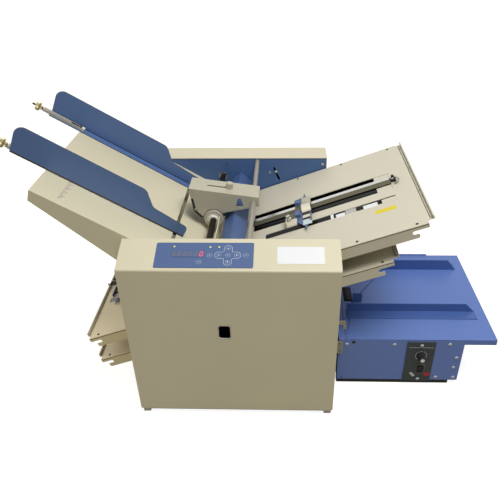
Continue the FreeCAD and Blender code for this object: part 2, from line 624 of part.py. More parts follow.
def feed_shaft():
    bar = rod(WHEEL_X, WHEEL_Z, FEED_SHAFT_R, FRAME_F - FRAME_T - BUSH_FLANGE_T - SHAFT_PROUD,
              FEED_PULLEY_Y + PULLEY_W + SHAFT_PROUD)
    pulley = pulley_ring(WHEEL_X, WHEEL_Z, FEED_PULLEY_R, FEED_SHAFT_R, FEED_PULLEY_Y)
    return [bar, pulley]


def feed_wheel():
    y0, y1 = MID_Y - WHEEL_W / 2, MID_Y + WHEEL_W / 2
    wheel = rod(WHEEL_X, WHEEL_Z, WHEEL_R, y0, y1)
    hub = rod(WHEEL_X, WHEEL_Z, WHEEL_HUB_R, y0 - WHEEL_HUB_L, y1 + WHEEL_HUB_L)
    bore = rod(WHEEL_X, WHEEL_Z, FEED_SHAFT_R + SEAT, y0 - WHEEL_W, y1 + WHEEL_W)
    return fuse(wheel, hub).cut(bore)


def pulley_ring(x, z, radius, bore, y0):
    return ring(x, z, radius, bore + SEAT, y0, y0 + PULLEY_W)


# ---- separator arm ----------------------------------------------------------------------------
def arm_top(x):
    """Height of the arm's top face."""
    return ARM_TOP - (x - ARM_LEFT) * math.tan(math.radians(ARM_FALL))


def separator_arm():
    edge = shifted(STRIP_PATH, -STRIP_T / 2 - FIT)
    outline = [(ARM_LEFT, ARM_TOP), (ARM_RIGHT, arm_top(ARM_RIGHT)), (ARM_RIGHT, ARM_LOW),
               edge[2], edge[1], edge[0], (STRIP_PATH[0][0] - STRIP_T / 2, edge[0][1])]
    y0, y1 = MID_Y - ARM_W / 2, MID_Y + ARM_W / 2
    body = prism_y(outline, y0, y1)
    roof = ARM_WALL / math.cos(math.radians(ARM_FALL))
    hollow = [(ARM_LEFT - PAST, arm_top(ARM_LEFT - PAST) - roof),
              (ARM_RIGHT - ARM_WALL, arm_top(ARM_RIGHT - ARM_WALL) - roof),
              (ARM_RIGHT - ARM_WALL, STRIP_PATH[2][1] - STRIP_T),
              (ARM_LEFT - PAST, STRIP_PATH[2][1] - STRIP_T)]
    body = body.cut(prism_y(hollow, y0 + ARM_WALL, y1 - ARM_WALL))
    cuts = [rod(WHEEL_X, WHEEL_Z, WHEEL_R + WHEEL_ROOM, y0 - PAST, y1 + PAST)]
    cuts.append(rod(ROD_X, ROD_Z, ROD_R + RUN, y0 - PAST, y1 + PAST))
    cuts.append(box(ROD_X - ROD_R - RUN, ROD_X + ROD_R + RUN, y0 - PAST, y1 + PAST,
                    STRIP_PATH[2][1], ROD_Z))
    cuts.append(rod(NOTCH_X, NOTCH_TOP - NOTCH_R, NOTCH_R, y0 - PAST, y1 + PAST))
    cuts.append(prism_y([(NOTCH_X - NOTCH_R, NOTCH_TOP - NOTCH_R),
                         (NOTCH_X + NOTCH_R, NOTCH_TOP - NOTCH_R),
                         (NOTCH_X + NOTCH_FLARE, ARM_LOW - PAST), (NOTCH_X - NOTCH_FLARE, ARM_LOW - PAST)],
                        y0 - PAST, y1 + PAST))
    half = ARM_SLOT_W / 2
    cuts.append(box(ARM_SLOT_X0, ARM_SLOT_X1, MID_Y - half, MID_Y + half,
                    arm_top(ARM_SLOT_X1) - ARM_WALL * 2, ARM_TOP))
    return body.cut(cuts)


def separator_knob():
    """The knob on the arm's slot, its screw and the nut below the sheet."""
    z = FIT
    knob = Part.makeCylinder(ARM_KNOB_R, ARM_KNOB_H, vec(0, 0, z))
    under = -ARM_WALL - FIT
    screw = Part.makeCylinder(ARM_SCREW_R, z - under, vec(0, 0, under))
    nut = Part.makeCylinder(ARM_NUT_R, ARM_NUT_T, vec(0, 0, under - ARM_NUT_T))
    piece = fuse(knob, screw, nut)
    piece.rotate(vec(0, 0, 0), vec(0, 1, 0), ARM_FALL)
    piece.translate(vec(ARM_KNOB_X, MID_Y, arm_top(ARM_KNOB_X)))
    return piece


def separator_strip():
    left = shifted(STRIP_PATH, STRIP_T / 2)
    right = shifted(STRIP_PATH, -STRIP_T / 2)
    outline = [left[0], left[1] + (STRIP_T * 2,), left[2], right[2], right[1] + (STRIP_T,), right[0]]
    return prism_y(outline, MID_Y - ARM_W / 2, MID_Y + ARM_W / 2)


# ---- fold rollers and drive ---------------------------------------------------------------------
def gear(x, z, phase, y0):
    """A spur gear whose first tooth points along the phase angle, in degrees."""
    pitch_r = ROLLER_PITCH / 2
    root, tip = pitch_r - GEAR_DEDENDUM, pitch_r + GEAR_ADDENDUM
    half = (math.pi * ROLLER_PITCH / GEAR_TEETH / 2 - GEAR_PLAY) / 2
    spread = math.tan(math.radians(GEAR_FLANK))
    low, high = half + GEAR_DEDENDUM * spread, half - GEAR_ADDENDUM * spread
    points = []
    for i in range(GEAR_TEETH):
        angle = math.radians(phase + 360 * i / GEAR_TEETH)
        for radius, side in ((root, -low), (tip, -high), (tip, high), (root, low)):
            a = angle + side / radius
            points.append((x + radius * math.cos(a), z + radius * math.sin(a)))
    body = prism_y(points, y0, y0 + GEAR_W)
    return body.cut(rod(x, z, SHAFT_R + SEAT, y0 - PAST, y0 + GEAR_W + PAST))


def gear_phases():
    """Phases that put every gear in mesh with the one before it."""
    centres = roller_centres()
    tooth = 360 / GEAR_TEETH
    phases = [90 + PLATE_ANGLE]
    for (x0, z0), (x1, z1) in zip(centres, centres[1:]):
        towards = math.degrees(math.atan2(z1 - z0, x1 - x0))
        phases.append((2 * towards + 180 - phases[-1] + tooth / 2) % tooth)
    return phases


def fold_roller(index):
    x, z = roller_centres()[index]
    barrel = rod(x, z, ROLLER_R, FRAME_F + ROLLER_END_GAP, FRAME_R - ROLLER_END_GAP)
    ends = {FEEDER_ROLLER: FEED_PULLEY_Y + PULLEY_W, DRIVE_ROLLER: DRIVE_PULLEY_Y + PULLEY_W}
    end = ends.get(index, GEAR_Y + GEAR_W) + SHAFT_PROUD
    shaft = rod(x, z, SHAFT_R, FRAME_F - FRAME_T - BUSH_FLANGE_T - SHAFT_PROUD, end)
    solids = [fuse(barrel, shaft), gear(x, z, gear_phases()[index], GEAR_Y)]
    if index == FEEDER_ROLLER:
        solids.append(pulley_ring(x, z, FEEDER_DRIVE_R, SHAFT_R, FEED_PULLEY_Y))
    if index == DRIVE_ROLLER:
        solids.append(pulley_ring(x, z, ROLLER_PULLEY_R, SHAFT_R, DRIVE_PULLEY_Y))
    return solids


def loop(a, ra, b, rb, y0, y1):
    """A solid round two circles and the straight runs that touch both."""
    gap = math.hypot(b[0] - a[0], b[1] - a[1])
    along = math.atan2(b[1] - a[1], b[0] - a[0])
    lean = math.acos((ra - rb) / gap)

    def at(centre, radius, angle):
        return vec(centre[0] + radius * math.cos(angle), y0, centre[1] + radius * math.sin(angle))

    a0, a1 = at(a, ra, along + lean), at(a, ra, along - lean)
    b0, b1 = at(b, rb, along + lean), at(b, rb, along - lean)
    edges = [Part.Arc(a0, at(a, ra, along + math.pi), a1).toShape(),
             Part.LineSegment(a1, b1).toShape(), Part.Arc(b1, at(b, rb, along), b0).toShape(),
             Part.LineSegment(b0, a0).toShape()]
    return Part.Face(Part.Wire(edges)).extrude(vec(0, y1 - y0, 0))


def belt(a, ra, b, rb, pulley_y):
    y0 = pulley_y + (PULLEY_W - BELT_W) / 2
    y1 = y0 + BELT_W
    outer = loop(a, ra + FIT + BELT_T, b, rb + FIT + BELT_T, y0, y1)
    return outer.cut(loop(a, ra + FIT, b, rb + FIT, y0, y1))


def drive_belts():
    rollers = roller_centres()
    main = belt((MOTOR_X, MOTOR_Z), MOTOR_PULLEY_R, rollers[DRIVE_ROLLER], ROLLER_PULLEY_R,
                DRIVE_PULLEY_Y)
    feeder = belt(rollers[FEEDER_ROLLER], FEEDER_DRIVE_R, (WHEEL_X, WHEEL_Z), FEED_PULLEY_R,
                  FEED_PULLEY_Y)
    return [main, feeder]


def drive_motor():
    """The motor hangs on the inside of the rear frame by its flange."""
    y1 = FRAME_R - FIT
    flange = rod(MOTOR_X, MOTOR_Z, MOTOR_FLANGE_R, y1 - MOTOR_FLANGE_T, y1)
    can = rod(MOTOR_X, MOTOR_Z, MOTOR_R, y1 - MOTOR_FLANGE_T - MOTOR_L, y1 - MOTOR_FLANGE_T)
    cut = rod(MOTOR_X, MOTOR_Z, MOTOR_SHAFT_R + RUN, y1 - MOTOR_BORE_L, y1 + PAST)
    return fuse(flange, can).cut(cut)


def motor_pulley():
    shaft = rod(MOTOR_X, MOTOR_Z, MOTOR_SHAFT_R, FRAME_R - FIT - MOTOR_SHAFT_IN,
                DRIVE_PULLEY_Y + PULLEY_W + SHAFT_PROUD)
    return [shaft, pulley_ring(MOTOR_X, MOTOR_Z, MOTOR_PULLEY_R, MOTOR_SHAFT_R, DRIVE_PULLEY_Y)]


# ---- fold plates ------------------------------------------------------------------------------
def flange_outline(index):
    """A plate's side flange: hook slots open at both ends."""
    slot_top, slot_low = -TONGUE_T, -TONGUE_T - HOOK_H
    bend = HOOK_H / 2 - FIT
    length = PLATES[index][-1]
    slot = length - by_side(index, HOOK_END_RIGHT, HOOK_END_LEFT)
    toe = length - by_side(index, HOOK_TOE_RIGHT, HOOK_TOE_LEFT)
    return [(0, 0), (skin_end(index), 0), (skin_end(index), slot_top), (slot, slot_top, bend),
            (slot, slot_low, bend), (toe, slot_low), (toe, -PLATE_DEPTH, bend),
            (TOE_IN, -PLATE_DEPTH, bend), (TOE_IN, slot_low), (HOOK_IN, slot_low, bend),
            (HOOK_IN, slot_top, bend), (0, slot_top)]


def fold_plate(index):
    side, s_in, top, length = PLATES[index]
    y1 = PLATE_Y0 + PLATE_W
    skin = box(0, skin_end(index), PLATE_Y0, y1, -PLATE_T, 0)
    flanges = [prism_y(flange_outline(index), y, y + PLATE_T) for y in (PLATE_Y0, y1 - PLATE_T)]
    under = -plate_gap(index) - GAP_HALF
    inner_y, outer_y = PLATE_Y0 + PLATE_T, y1 - PLATE_T
    pin_room = STUD_PIN - PLATE_T + FIT
    corners = [box(-PAST, HOOK_IN + PAST, y0, y1, under - PLATE_T - PAST, under + PAST)
               for y0, y1 in ((inner_y - PAST, inner_y + pin_room), (outer_y - pin_room, outer_y + PAST))]
    lower = box(0, length - LOWER_SHORT, inner_y, outer_y, under - PLATE_T, under).cut(corners)
    end = open_end(index)
    openings = [box(OPEN_Q0, end, OPEN_A_Y, OPEN_A_Y + OPEN_A_W, -PLATE_T - PAST, PAST),
                box(OPEN_B_Q0, end, OPEN_B_Y, OPEN_B_Y + OPEN_B_W, -PLATE_T - PAST, PAST)]
    return on_plate(fuse(skin.cut(openings), lower, *flanges), index)


def plate_end_bars():
    """Each plate's outer end: a web under the skin and a lip that rises past the top face."""
    bars = []
    for index, (side, s_in, top, length) in enumerate(PLATES):
        y0, y1 = PLATE_Y0 + END_SET, PLATE_Y0 + PLATE_W
        web_top = -PLATE_T - SEAT
        web = box(length - by_side(index, END_WEB_RIGHT, END_WEB_LEFT), length, y0, y1 - PLATE_T - FIT,
                  web_top - PLATE_T, web_top)
        lip = box(length - END_LIP, length, y0, y1, web_top - PLATE_T, END_RISE)
        bars.append(on_plate(fuse(web, lip), index))
    return bars


def stop_rails():
    """The fluted rail in each plate's opening, with a nut on its outer tongue."""
    solids = []
    for index, (side, s_in, top, length) in enumerate(PLATES):
        q0, q1 = OPEN_Q0 + FIT, open_end(index) - FIT
        bar = box(q0, q1, RAIL_Y, RAIL_Y + RAIL_W, RAIL_LOW, RAIL_HIGH)
        step = RAIL_W / RAIL_GROOVES
        grooves = []
        for i in range(RAIL_GROOVES):
            y = RAIL_Y + step * (i + 0.5)
            grooves.append(box(q0 - PAST, q1 + PAST, y - GROOVE_W / 2, y + GROOVE_W / 2,
                               RAIL_HIGH - GROOVE_D, RAIL_HIGH + PAST))
        bar = bar.cut(grooves)
        tongue = box(q0 - RAIL_TONGUE, q1 + RAIL_TONGUE, TONGUE_Y, TONGUE_Y + TONGUE_W, SEAT,
                     RAIL_HIGH - GROOVE_D)
        solids.append(on_plate(fuse(bar, tongue), index))
        nut_low = RAIL_HIGH - GROOVE_D + SEAT
        for q in (q0 - RAIL_TONGUE / 2, q1 + RAIL_TONGUE / 2):
            nut = post(q, TONGUE_Y + TONGUE_W / 2, NUT_R, nut_low, nut_low + NUT_H)
            solids.append(on_plate(nut, index))
    return solids


def stop_carriage(index):
    """A paper stop: pointer blade over the rail, clamp, bracket, and fingers in the paper gap."""
    q = STOP_AT[index]
    top = STOP_BASE + BLADE_T
    b1 = q + STOP_L - BLADE_BACK
    b0, b2 = b1 - BLADE_W, b1 + BLADE_NOSE
    point = (b1 + b2) / 2
    blade = prism_z([(b0, BRACKET_Y0), (b1, BLADE_Y0 + BLADE_TIP), (point, BLADE_Y0),
                     (b2, BLADE_Y0 + BLADE_TIP), (b2, BLADE_Y1 - BLADE_TIP), (point, BLADE_Y1),
                     (b1, BLADE_Y1 - BLADE_TIP), (b0, OPEN_A_Y + OPEN_A_W)], STOP_BASE, top)
    clamp = box(q + STOP_L - BLADE_W, q + STOP_L, CLAMP_Y0, CLAMP_Y0 + CLAMP_W, STOP_BASE,
                top + CLAMP_H)
    bracket = box(q, b1, BRACKET_Y0, CLAMP_Y0, top, top + BRACKET_T)
    reach = -plate_gap(index) - GAP_HALF + FIT
    f0 = b0 + FINGER_SET
    fingers = [box(f0, f0 + FINGER_T, y, y + FINGER_W, reach, top) for y in FINGER_Y]
    hole = post(stop_knob_q(index), STOP_KNOB_Y, STOP_SCREW_R + RUN, 0, top + BRACKET_T + PAST)
    return on_plate(fuse(blade, clamp, bracket, *fingers).cut(hole), index)


def stop_knob_q(index):
    return STOP_AT[index] + STOP_KNOB_R + STOP_EDGE


def stop_knob(index):
    """The thumbscrew that presses on the plate beside the opening."""
    q = stop_knob_q(index)
    low = STOP_BASE + BLADE_T + BRACKET_T + FIT
    head = post(q, STOP_KNOB_Y, STOP_KNOB_R, low, low + STOP_KNOB_H)
    screw = post(q, STOP_KNOB_Y, STOP_SCREW_R, FIT, low)
    return on_plate(fuse(head, screw), index)


# ---- delivery unit ----------------------------------------------------------------------------
def delivery_box():
    outer = box(DEL_X0, DEL_X1, DEL_Y0, DEL_Y1, DEL_LOW, BOX_TOP)
    t = TRAY_T
    inner = box(DEL_X0 + t, DEL_X1 - t, DEL_Y0 + t, DEL_Y1 - t, DEL_LOW + t, BOX_TOP + PAST)
    x0, x1, z0, z1 = control_case()
    cuts = [inner, box(x0 - FIT, x1 + FIT, DEL_Y0 - PAST, DEL_Y0 + t + PAST, z0 - FIT, z1 + FIT)]
    cuts += [rod(x, z, SCREW_R + RUN, DEL_Y0 - PAST, DEL_Y0 + t + PAST)
             for x, z in BOX_SCREWS + CTRL_SCREWS]
    cuts.append(rod(KICK_X, KICK_Z, KICK_SHAFT_R + RUN, DEL_Y0 - PAST, DEL_Y0 + t + PAST))
    ledge = box(DEL_X0, DEL_X0 + BOX_LEDGE, DEL_Y0, DEL_Y1, BOX_TOP - t, BOX_TOP)
    return fuse(outer.cut(cuts), ledge)


def control_case():
    return (CTRL_X + CTRL_CASE_IN, CTRL_X + CTRL_W - CTRL_CASE_IN,
            DEL_LOW + CTRL_CASE_IN, CTRL_LOW + CTRL_H - CTRL_CASE_IN)


def delivery_top():
    low = TRAY_TOP - TRAY_T
    plate = box(TRAY_X0, TRAY_X1, DEL_Y0, DEL_Y1, low, TRAY_TOP)
    flange_low = TRAY_TOP - TRAY_FLANGE
    x0 = DEL_X1 + FIT
    flanges = [box(x0, TRAY_X1, DEL_Y0, DEL_Y0 + TRAY_T, flange_low, TRAY_TOP),
               box(x0, TRAY_X1, DEL_Y1 - TRAY_T, DEL_Y1, flange_low, TRAY_TOP),
               box(TRAY_X1 - TRAY_T, TRAY_X1, DEL_Y0, DEL_Y1, flange_low, TRAY_TOP)]
    lip = box(LIP_X0, LIP_X1, DEL_Y1 - TRAY_T, DEL_Y1, low, TRAY_TOP + LIP_H)
    tab = box(TAB_X, TAB_X + TAB_L, TAB_Y, TAB_Y + TRAY_T, low, TRAY_TOP + TAB_H)
    window = box(KICK_X - KICK_OPEN_L / 2, KICK_X + KICK_OPEN_L / 2, KICK_Y - KICK_OPEN_W / 2,
                 KICK_Y + KICK_OPEN_W / 2, low - PAST, TRAY_TOP + PAST)
    return fuse(plate, lip, tab, *flanges).cut(window)


def delivery_base_strips():
    return [box(DEL_X0, STRIP_X1, y, y + STRIP_D, 0, DEL_LOW - FIT)
            for y in (DEL_Y0 + TRAY_T, DEL_Y1 - TRAY_T - STRIP_D)]


def delivery_rail(face, height, foot_side):
    """A paper rail on the tray: an upright leg with a slanted end, and a flat foot."""
    low = TRAY_TOP + FIT
    y0, y1 = sorted((face, face + foot_side * RAIL_T))
    leg = prism_y([(DRAIL_X0, low), (DRAIL_X1, low), (DRAIL_X1 - DRAIL_SLANT, low + height),
                   (DRAIL_X0, low + height)], y0, y1)
    f0, f1 = sorted((face, face + foot_side * FRONT_FOOT))
    return fuse(leg, box(DRAIL_X0, DRAIL_X1, f0, f1, low, low + RAIL_T))


def delivery_roller():
    """The kicker roller that lifts folded sheets through the tray's opening."""
    shaft = rod(KICK_X, KICK_Z, KICK_SHAFT_R, DEL_Y0, KICK_Y + KICK_W / 2 + KICK_SHAFT_OUT)
    tyre = ring(KICK_X, KICK_Z, KICK_R, KICK_SHAFT_R + SEAT, KICK_Y - KICK_W / 2, KICK_Y + KICK_W / 2)
    return [shaft, tyre]


def delivery_motor():
    """The kicker's gear motor, on a bracket that stands on the box's floor."""
    y0 = KICK_Y + KICK_W / 2 + KICK_MOTOR_GAP
    z = KICK_Z - KICK_MOTOR_DROP
    can = rod(KICK_X, z, KICK_MOTOR_R, y0, y0 + KICK_MOTOR_L)
    bore = rod(KICK_X, KICK_Z, KICK_SHAFT_R + RUN, y0 - PAST, KICK_Y + KICK_W / 2 + KICK_SHAFT_OUT + PAST)
    stand = box(KICK_X - KICK_MOTOR_R, KICK_X + KICK_MOTOR_R, y0, y0 + KICK_MOTOR_L,
                DEL_LOW + TRAY_T + FIT, z)
    return fuse(can, stand).cut(bore)


def speed_plate():
    y1 = DEL_Y0 - SEAT
    y0 = y1 - CTRL_T
    plate = box(CTRL_X, CTRL_X + CTRL_W, y0, y1, CTRL_LOW, CTRL_LOW + CTRL_H)
    x0, x1, z0, z1 = control_case()
    case = box(x0, x1, y0, y1 + CTRL_CASE_DEPTH, z0, z1)
    w, h = ROCKER_W / 2 + FIT, ROCKER_H / 2 + FIT
    rim = box(ROCKER_X - w - BEZEL, ROCKER_X + w + BEZEL, y0 - BEZEL_T, y0, ROCKER_Z - h - BEZEL,
              ROCKER_Z + h + BEZEL)
    cuts = [box(ROCKER_X - w, ROCKER_X + w, y0 - BEZEL_T - PAST, y0 + ROCKER_DEPTH + ROCKER_ROOM,
                ROCKER_Z - h - ROCKER_PLAY, ROCKER_Z + h + ROCKER_PLAY),
            rod(DIAL_X, DIAL_Z, DIAL_SHAFT_R + RUN, y0 - PAST, y0 + DIAL_SHAFT_L + PAST)]
    cuts += [rod(x, z, SCREW_R + RUN, y0 - PAST, y1 + SCREW_L + PAST) for x, z in CTRL_SCREWS]
    return fuse(plate, case, rim).cut(cuts)


def speed_knob():
    face = DEL_Y0 - SEAT - CTRL_T - FIT
    knob = rod(DIAL_X, DIAL_Z, DIAL_R, face - DIAL_L, face)
    shaft = rod(DIAL_X, DIAL_Z, DIAL_SHAFT_R, face, face + DIAL_SHAFT_L)
    return fuse(knob, shaft)


def rocker_axis_y():
    return DEL_Y0 - SEAT - CTRL_T + ROCKER_DEPTH / 2


def power_rocker():
    """The switch rocker, resting with its lower half pressed in."""
    y = rocker_axis_y()
    w, h = ROCKER_W / 2, ROCKER_H / 2
    edge = y - ROCKER_DEPTH / 2 - BEZEL_T - ROCKER_PROUD + ROCKER_DISH
    back = y + ROCKER_DISH
    outline = [(edge, ROCKER_Z - h), (edge + ROCKER_DISH, ROCKER_Z), (edge, ROCKER_Z + h),
               (back, ROCKER_Z + h / 2), (y + ROCKER_DEPTH / 2, ROCKER_Z),
               (back, ROCKER_Z - h / 2)]
    body = prism_x(outline, ROCKER_X - w, ROCKER_X + w)
    body.rotate(vec(ROCKER_X, y, ROCKER_Z), vec(1, 0, 0), ROCKER_TILT)
    return body


def front_screw(x, z, face):
    head = rod(x, z, SCREW_HEAD_R, face - SEAT - SCREW_HEAD_T, face - SEAT)
    return fuse(head, rod(x, z, SCREW_R, face - SEAT, face + SCREW_L))


def case_screws():
    screws = [front_screw(x, z, DEL_Y0) for x, z in BOX_SCREWS]
    screws += [front_screw(x, z, DEL_Y0 - SEAT - CTRL_T) for x, z in CTRL_SCREWS]
    for index in range(len(PLATES)):
        for back in PLATE_SCREWS_BACK:
            for y in (PLATE_Y0 + PLATE_SCREW_EDGE, PLATE_Y0 + PLATE_W - PLATE_SCREW_EDGE):
                head = post(skin_end(index) - back, y, PLATE_SCREW_R, SEAT, SEAT + PLATE_SCREW_T)
                screws.append(on_plate(head, index))
    return screws


def docking_brackets():
    """Joggled straps from the frames' inner faces to the delivery box's sides, and hooks above them."""
    straps = []
    edge = COVER_W - COVER_WALL - FIT
    for sign, frame, wall in ((1, FRAME_F, DEL_Y0), (-1, FRAME_R, DEL_Y1)):
        a, b = frame + sign * FIT, frame + sign * (FIT + DOCK_T)
        c, d = wall - sign * (FIT + DOCK_T), wall - sign * FIT
        x0, x1, x2 = edge - DOCK_IN, edge + DOCK_STEP, DEL_X0 + DOCK_OUT
        outline = [(x0, a), (x1 + DOCK_T, a), (x1 + DOCK_T, c), (x2, c), (x2, d), (x1, d),
                   (x1, b), (x0, b)]
        strap = prism_z(outline, DOCK_LOW, DOCK_LOW + DOCK_H)
        y0, y1 = sorted((c, d))
        straps.append(strap.cut([rod(x2 - DOCK_HOLE_EDGE, DOCK_LOW + z, DOCK_HOLE_R, y0 - PAST, y1 + PAST)
                                 for z in DOCK_HOLES]))
        h0, h1 = sorted((a, frame + sign * (FIT + HOOK_SHEET)))
        straps.append(prism_y(frame_hook(edge), h0, h1))
    return straps


def frame_hook(edge):
    """The outline of a sheet hook that reaches past the frame's edge and turns down."""
    x0, x1 = edge - HOOK_IN_FRAME, edge + HOOK_PAST
    low, high = HOOK_LOW, HOOK_LOW + HOOK_TALL
    return [(x0, high), (x1, high, HOOK_LIP), (x1, low), (x1 - HOOK_LIP, low),
            (x1 - HOOK_LIP, high - HOOK_NECK), (x0, high - HOOK_NECK)]


# ---- all nodes ----------------------------------------------------------------------------------
def build():
    nodes = {
        "front_cover": front_cover(), "rear_cover": rear_cover(),
        "front_side_frame": side_frame(FRAME_F, -1), "rear_side_frame": side_frame(FRAME_R, 1),
        "base_plate": base_plate(), "corner_feet": corner_feet(), "tie_rods": tie_rods(),
        "arm_pivot_rod": arm_pivot_rod(), "shaft_bushes": shaft_bushes(),
        "plate_studs": plate_studs(), "roller_guard": roller_guard(),
        "control_panel": control_panel(), "display_window": display_window(),
        "feed_table": feed_table(), "feed_shaft": feed_shaft(), "feed_wheel": feed_wheel(),
        "separator_arm": separator_arm(), "separator_knob": separator_knob(),
        "separator_strip": separator_strip(), "drive_belts": drive_belts(),
        "drive_motor": drive_motor(), "motor_pulley": motor_pulley(),
        "plate_end_bars": plate_end_bars(), "stop_rails": stop_rails(),
        "delivery_box": delivery_box(), "delivery_top": delivery_top(),
        "delivery_base_strips": delivery_base_strips(), "delivery_roller": delivery_roller(),
        "delivery_motor": delivery_motor(), "speed_plate": speed_plate(),
        "speed_knob": speed_knob(), "power_rocker": power_rocker(),
        "case_screws": case_screws(), "docking_brackets": docking_brackets(),
        "front_delivery_rail": delivery_rail(FRONT_RAIL_Y, FRONT_RAIL_H, -1),
        "rear_delivery_rail": delivery_rail(REAR_RAIL_Y, REAR_RAIL_H, 1),
    }
    for name, face, inward, shift in (("front", GUIDE_FRONT, 1, FRONT_BAR_SHIFT),
                                      ("rear", GUIDE_REAR, -1, 0.0)):
        nodes[name + "_side_guide"] = side_guide(face, inward)
        nodes[name + "_adjuster_bar"] = adjuster_bar(face, inward, shift)
        nodes[name + "_adjuster_knob"] = adjuster_knob(face, inward, shift)
    for index in range(len(roller_centres())):
        nodes[f"fold_roller_{index + 1}"] = fold_roller(index)
    for index in range(len(PLATES)):
        nodes[f"fold_plate_{index + 1}"] = fold_plate(index)
        nodes[f"stop_carriage_{index + 1}"] = stop_carriage(index)
        nodes[f"stop_knob_{index + 1}"] = stop_knob(index)
    return {name: Part.makeCompound(s) if isinstance(s, list) else s for name, s in nodes.items()}


def bottom_centre(nodes):
    """The middle of the underside of the whole machine's box."""
    whole = FreeCAD.BoundBox()
    for shape in nodes.values():
        whole.add(shape.optimalBoundingBox(False))
    return vec(whole.Center.x, whole.Center.y, whole.ZMin)


NODES = build()
ORIGIN = bottom_centre(NODES)
os.makedirs("parts", exist_ok=True)
for node_name, node_shape in NODES.items():
    node_shape.translate(-ORIGIN)
    node_shape.exportStep(f"parts/{node_name}.step")
print(len(NODES), "nodes; origin at", ORIGIN)
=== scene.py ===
import math

import bmesh
import bpy
from mathutils import Matrix, Vector


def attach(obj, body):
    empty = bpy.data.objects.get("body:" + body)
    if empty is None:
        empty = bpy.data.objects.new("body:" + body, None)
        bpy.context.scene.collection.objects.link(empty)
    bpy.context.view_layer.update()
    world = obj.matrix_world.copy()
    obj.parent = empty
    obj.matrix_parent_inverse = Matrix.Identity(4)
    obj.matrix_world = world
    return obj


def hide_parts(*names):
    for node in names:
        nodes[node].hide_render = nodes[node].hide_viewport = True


# A desktop paper folding machine.  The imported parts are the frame; this script gives them their
# finishes and adds the small pieces.  Pieces are laid out in millimetres in the machine's own frame
# (x from the front cover's left edge, y from its face, z from the floor) and placed in metres.

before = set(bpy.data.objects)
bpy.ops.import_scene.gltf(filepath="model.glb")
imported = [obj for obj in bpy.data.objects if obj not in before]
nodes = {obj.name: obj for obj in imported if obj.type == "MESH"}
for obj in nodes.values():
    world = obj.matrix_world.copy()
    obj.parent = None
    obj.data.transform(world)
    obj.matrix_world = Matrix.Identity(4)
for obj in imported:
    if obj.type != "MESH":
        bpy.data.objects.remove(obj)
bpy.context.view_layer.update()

MM = 0.001
ORIGIN = Vector((0.25086012, 0.2524, 0.0))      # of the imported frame, here in metres
GROUND = Matrix.Translation(-ORIGIN) @ Matrix.Diagonal((MM, MM, MM, 1.0))

STRIP_RISE, STRIP_DEPTH, STRIP_Z = 24.3, 68.4, 364.0
STRIP_ANGLE = math.degrees(math.atan2(STRIP_RISE, STRIP_DEPTH))
TABLE_ANGLE, TABLE_L, THROAT_X, THROAT_Z = 31.2, 359.5, 158.0, 301.57
TABLE_X = THROAT_X - TABLE_L * math.cos(math.radians(TABLE_ANGLE))
TABLE_Z = THROAT_Z + TABLE_L * math.sin(math.radians(TABLE_ANGLE))
ARM_ANGLE, ARM_LEFT, ARM_TOP = 8.28, 102.0, 412.0
FRAME_F, FRAME_R, MID_Y = 68.4, 437.2, 252.8    # the side frames' inner faces and their middle
DEL_FACE = 91.5                                 # the delivery box's front face

# fold plates: side (1 right, -1 left), the inner end's place along and across the slant, length
PLATES = ((1, 300.0, 205.0, 379.0), (-1, 258.0, 167.0, 321.0),
          (1, 300.0, 145.4, 300.5), (-1, 258.0, 107.6, 327.0))
PLATE_ANGLE, PLATE_Y0, PLATE_Y1 = 20.0, 72.0, 433.6
UNDER_SKIN = -1.7                               # just below the plates' top sheet
STOP_AT = (101.0, 236.0, 84.0, 90.0)            # each paper stop's place along its plate
# pairs for the right and the left plates: how far the skin and the openings end before the outer
# end, and the depth of the paper gap below the top face
SKIN_BACK, OPEN_BACK, PLATE_GAP = (13.0, 7.0), (51.0, 20.0), (13.0, 5.0)


def by_side(index, pair):
    """The right or the left plates' value of a pair."""
    return pair[PLATES[index][0] < 0]


def skin_end(index):
    return PLATES[index][3] - by_side(index, SKIN_BACK)


def open_end(index):
    return PLATES[index][3] - by_side(index, OPEN_BACK)


def sloped(angle, axis, x, y, z, side=1):
    """A local frame in millimetres at (x, y, z), turned about an axis; side -1 mirrors its x."""
    return (GROUND @ Matrix.Translation((x, y, z)) @ Matrix.Rotation(math.radians(angle), 4, axis)
            @ Matrix.Diagonal((side, 1.0, 1.0, 1.0)))


def plate_frame(index):
    """A fold plate's frame: x from its inner end outward, z up from its top face."""
    side, s, t = PLATES[index][:3]
    a = math.radians(PLATE_ANGLE)
    x, z = s * math.cos(a) - t * math.sin(a), s * math.sin(a) + t * math.cos(a)
    return sloped(-PLATE_ANGLE, "Y", x, 0, z, side)


STRIP = sloped(STRIP_ANGLE, "X", 0, 0, STRIP_Z)
TABLE = sloped(TABLE_ANGLE, "Y", TABLE_X, 0, TABLE_Z)


# ---- materials -------------------------------------------------------
MIX_A, MIX_B, MIX_OUT = 6, 7, 2                 # the colour sockets of a Mix node
FINE_SCALE, FINE_DETAIL, BROAD_DETAIL = 420.0, 2.0, 3.0
GRAIN_SHARE, GRAIN_DARK = 10, 4
ROUGH_SPREAD, ROUGH_LEAST, BUMP_DEPTH = 0.06, 0.02, 0.0004


def srgb(r, g, b):
    """A linear colour from 8-bit sRGB values."""
    def linear(c):
        c /= 255
        return c / 12.92 if c <= 0.04045 else ((c + 0.055) / 1.055) ** 2.4
    return (linear(r), linear(g), linear(b), 1.0)


def scaled(color, k):
    return tuple(min(1.0, c * k) for c in color[:3]) + (1.0,)


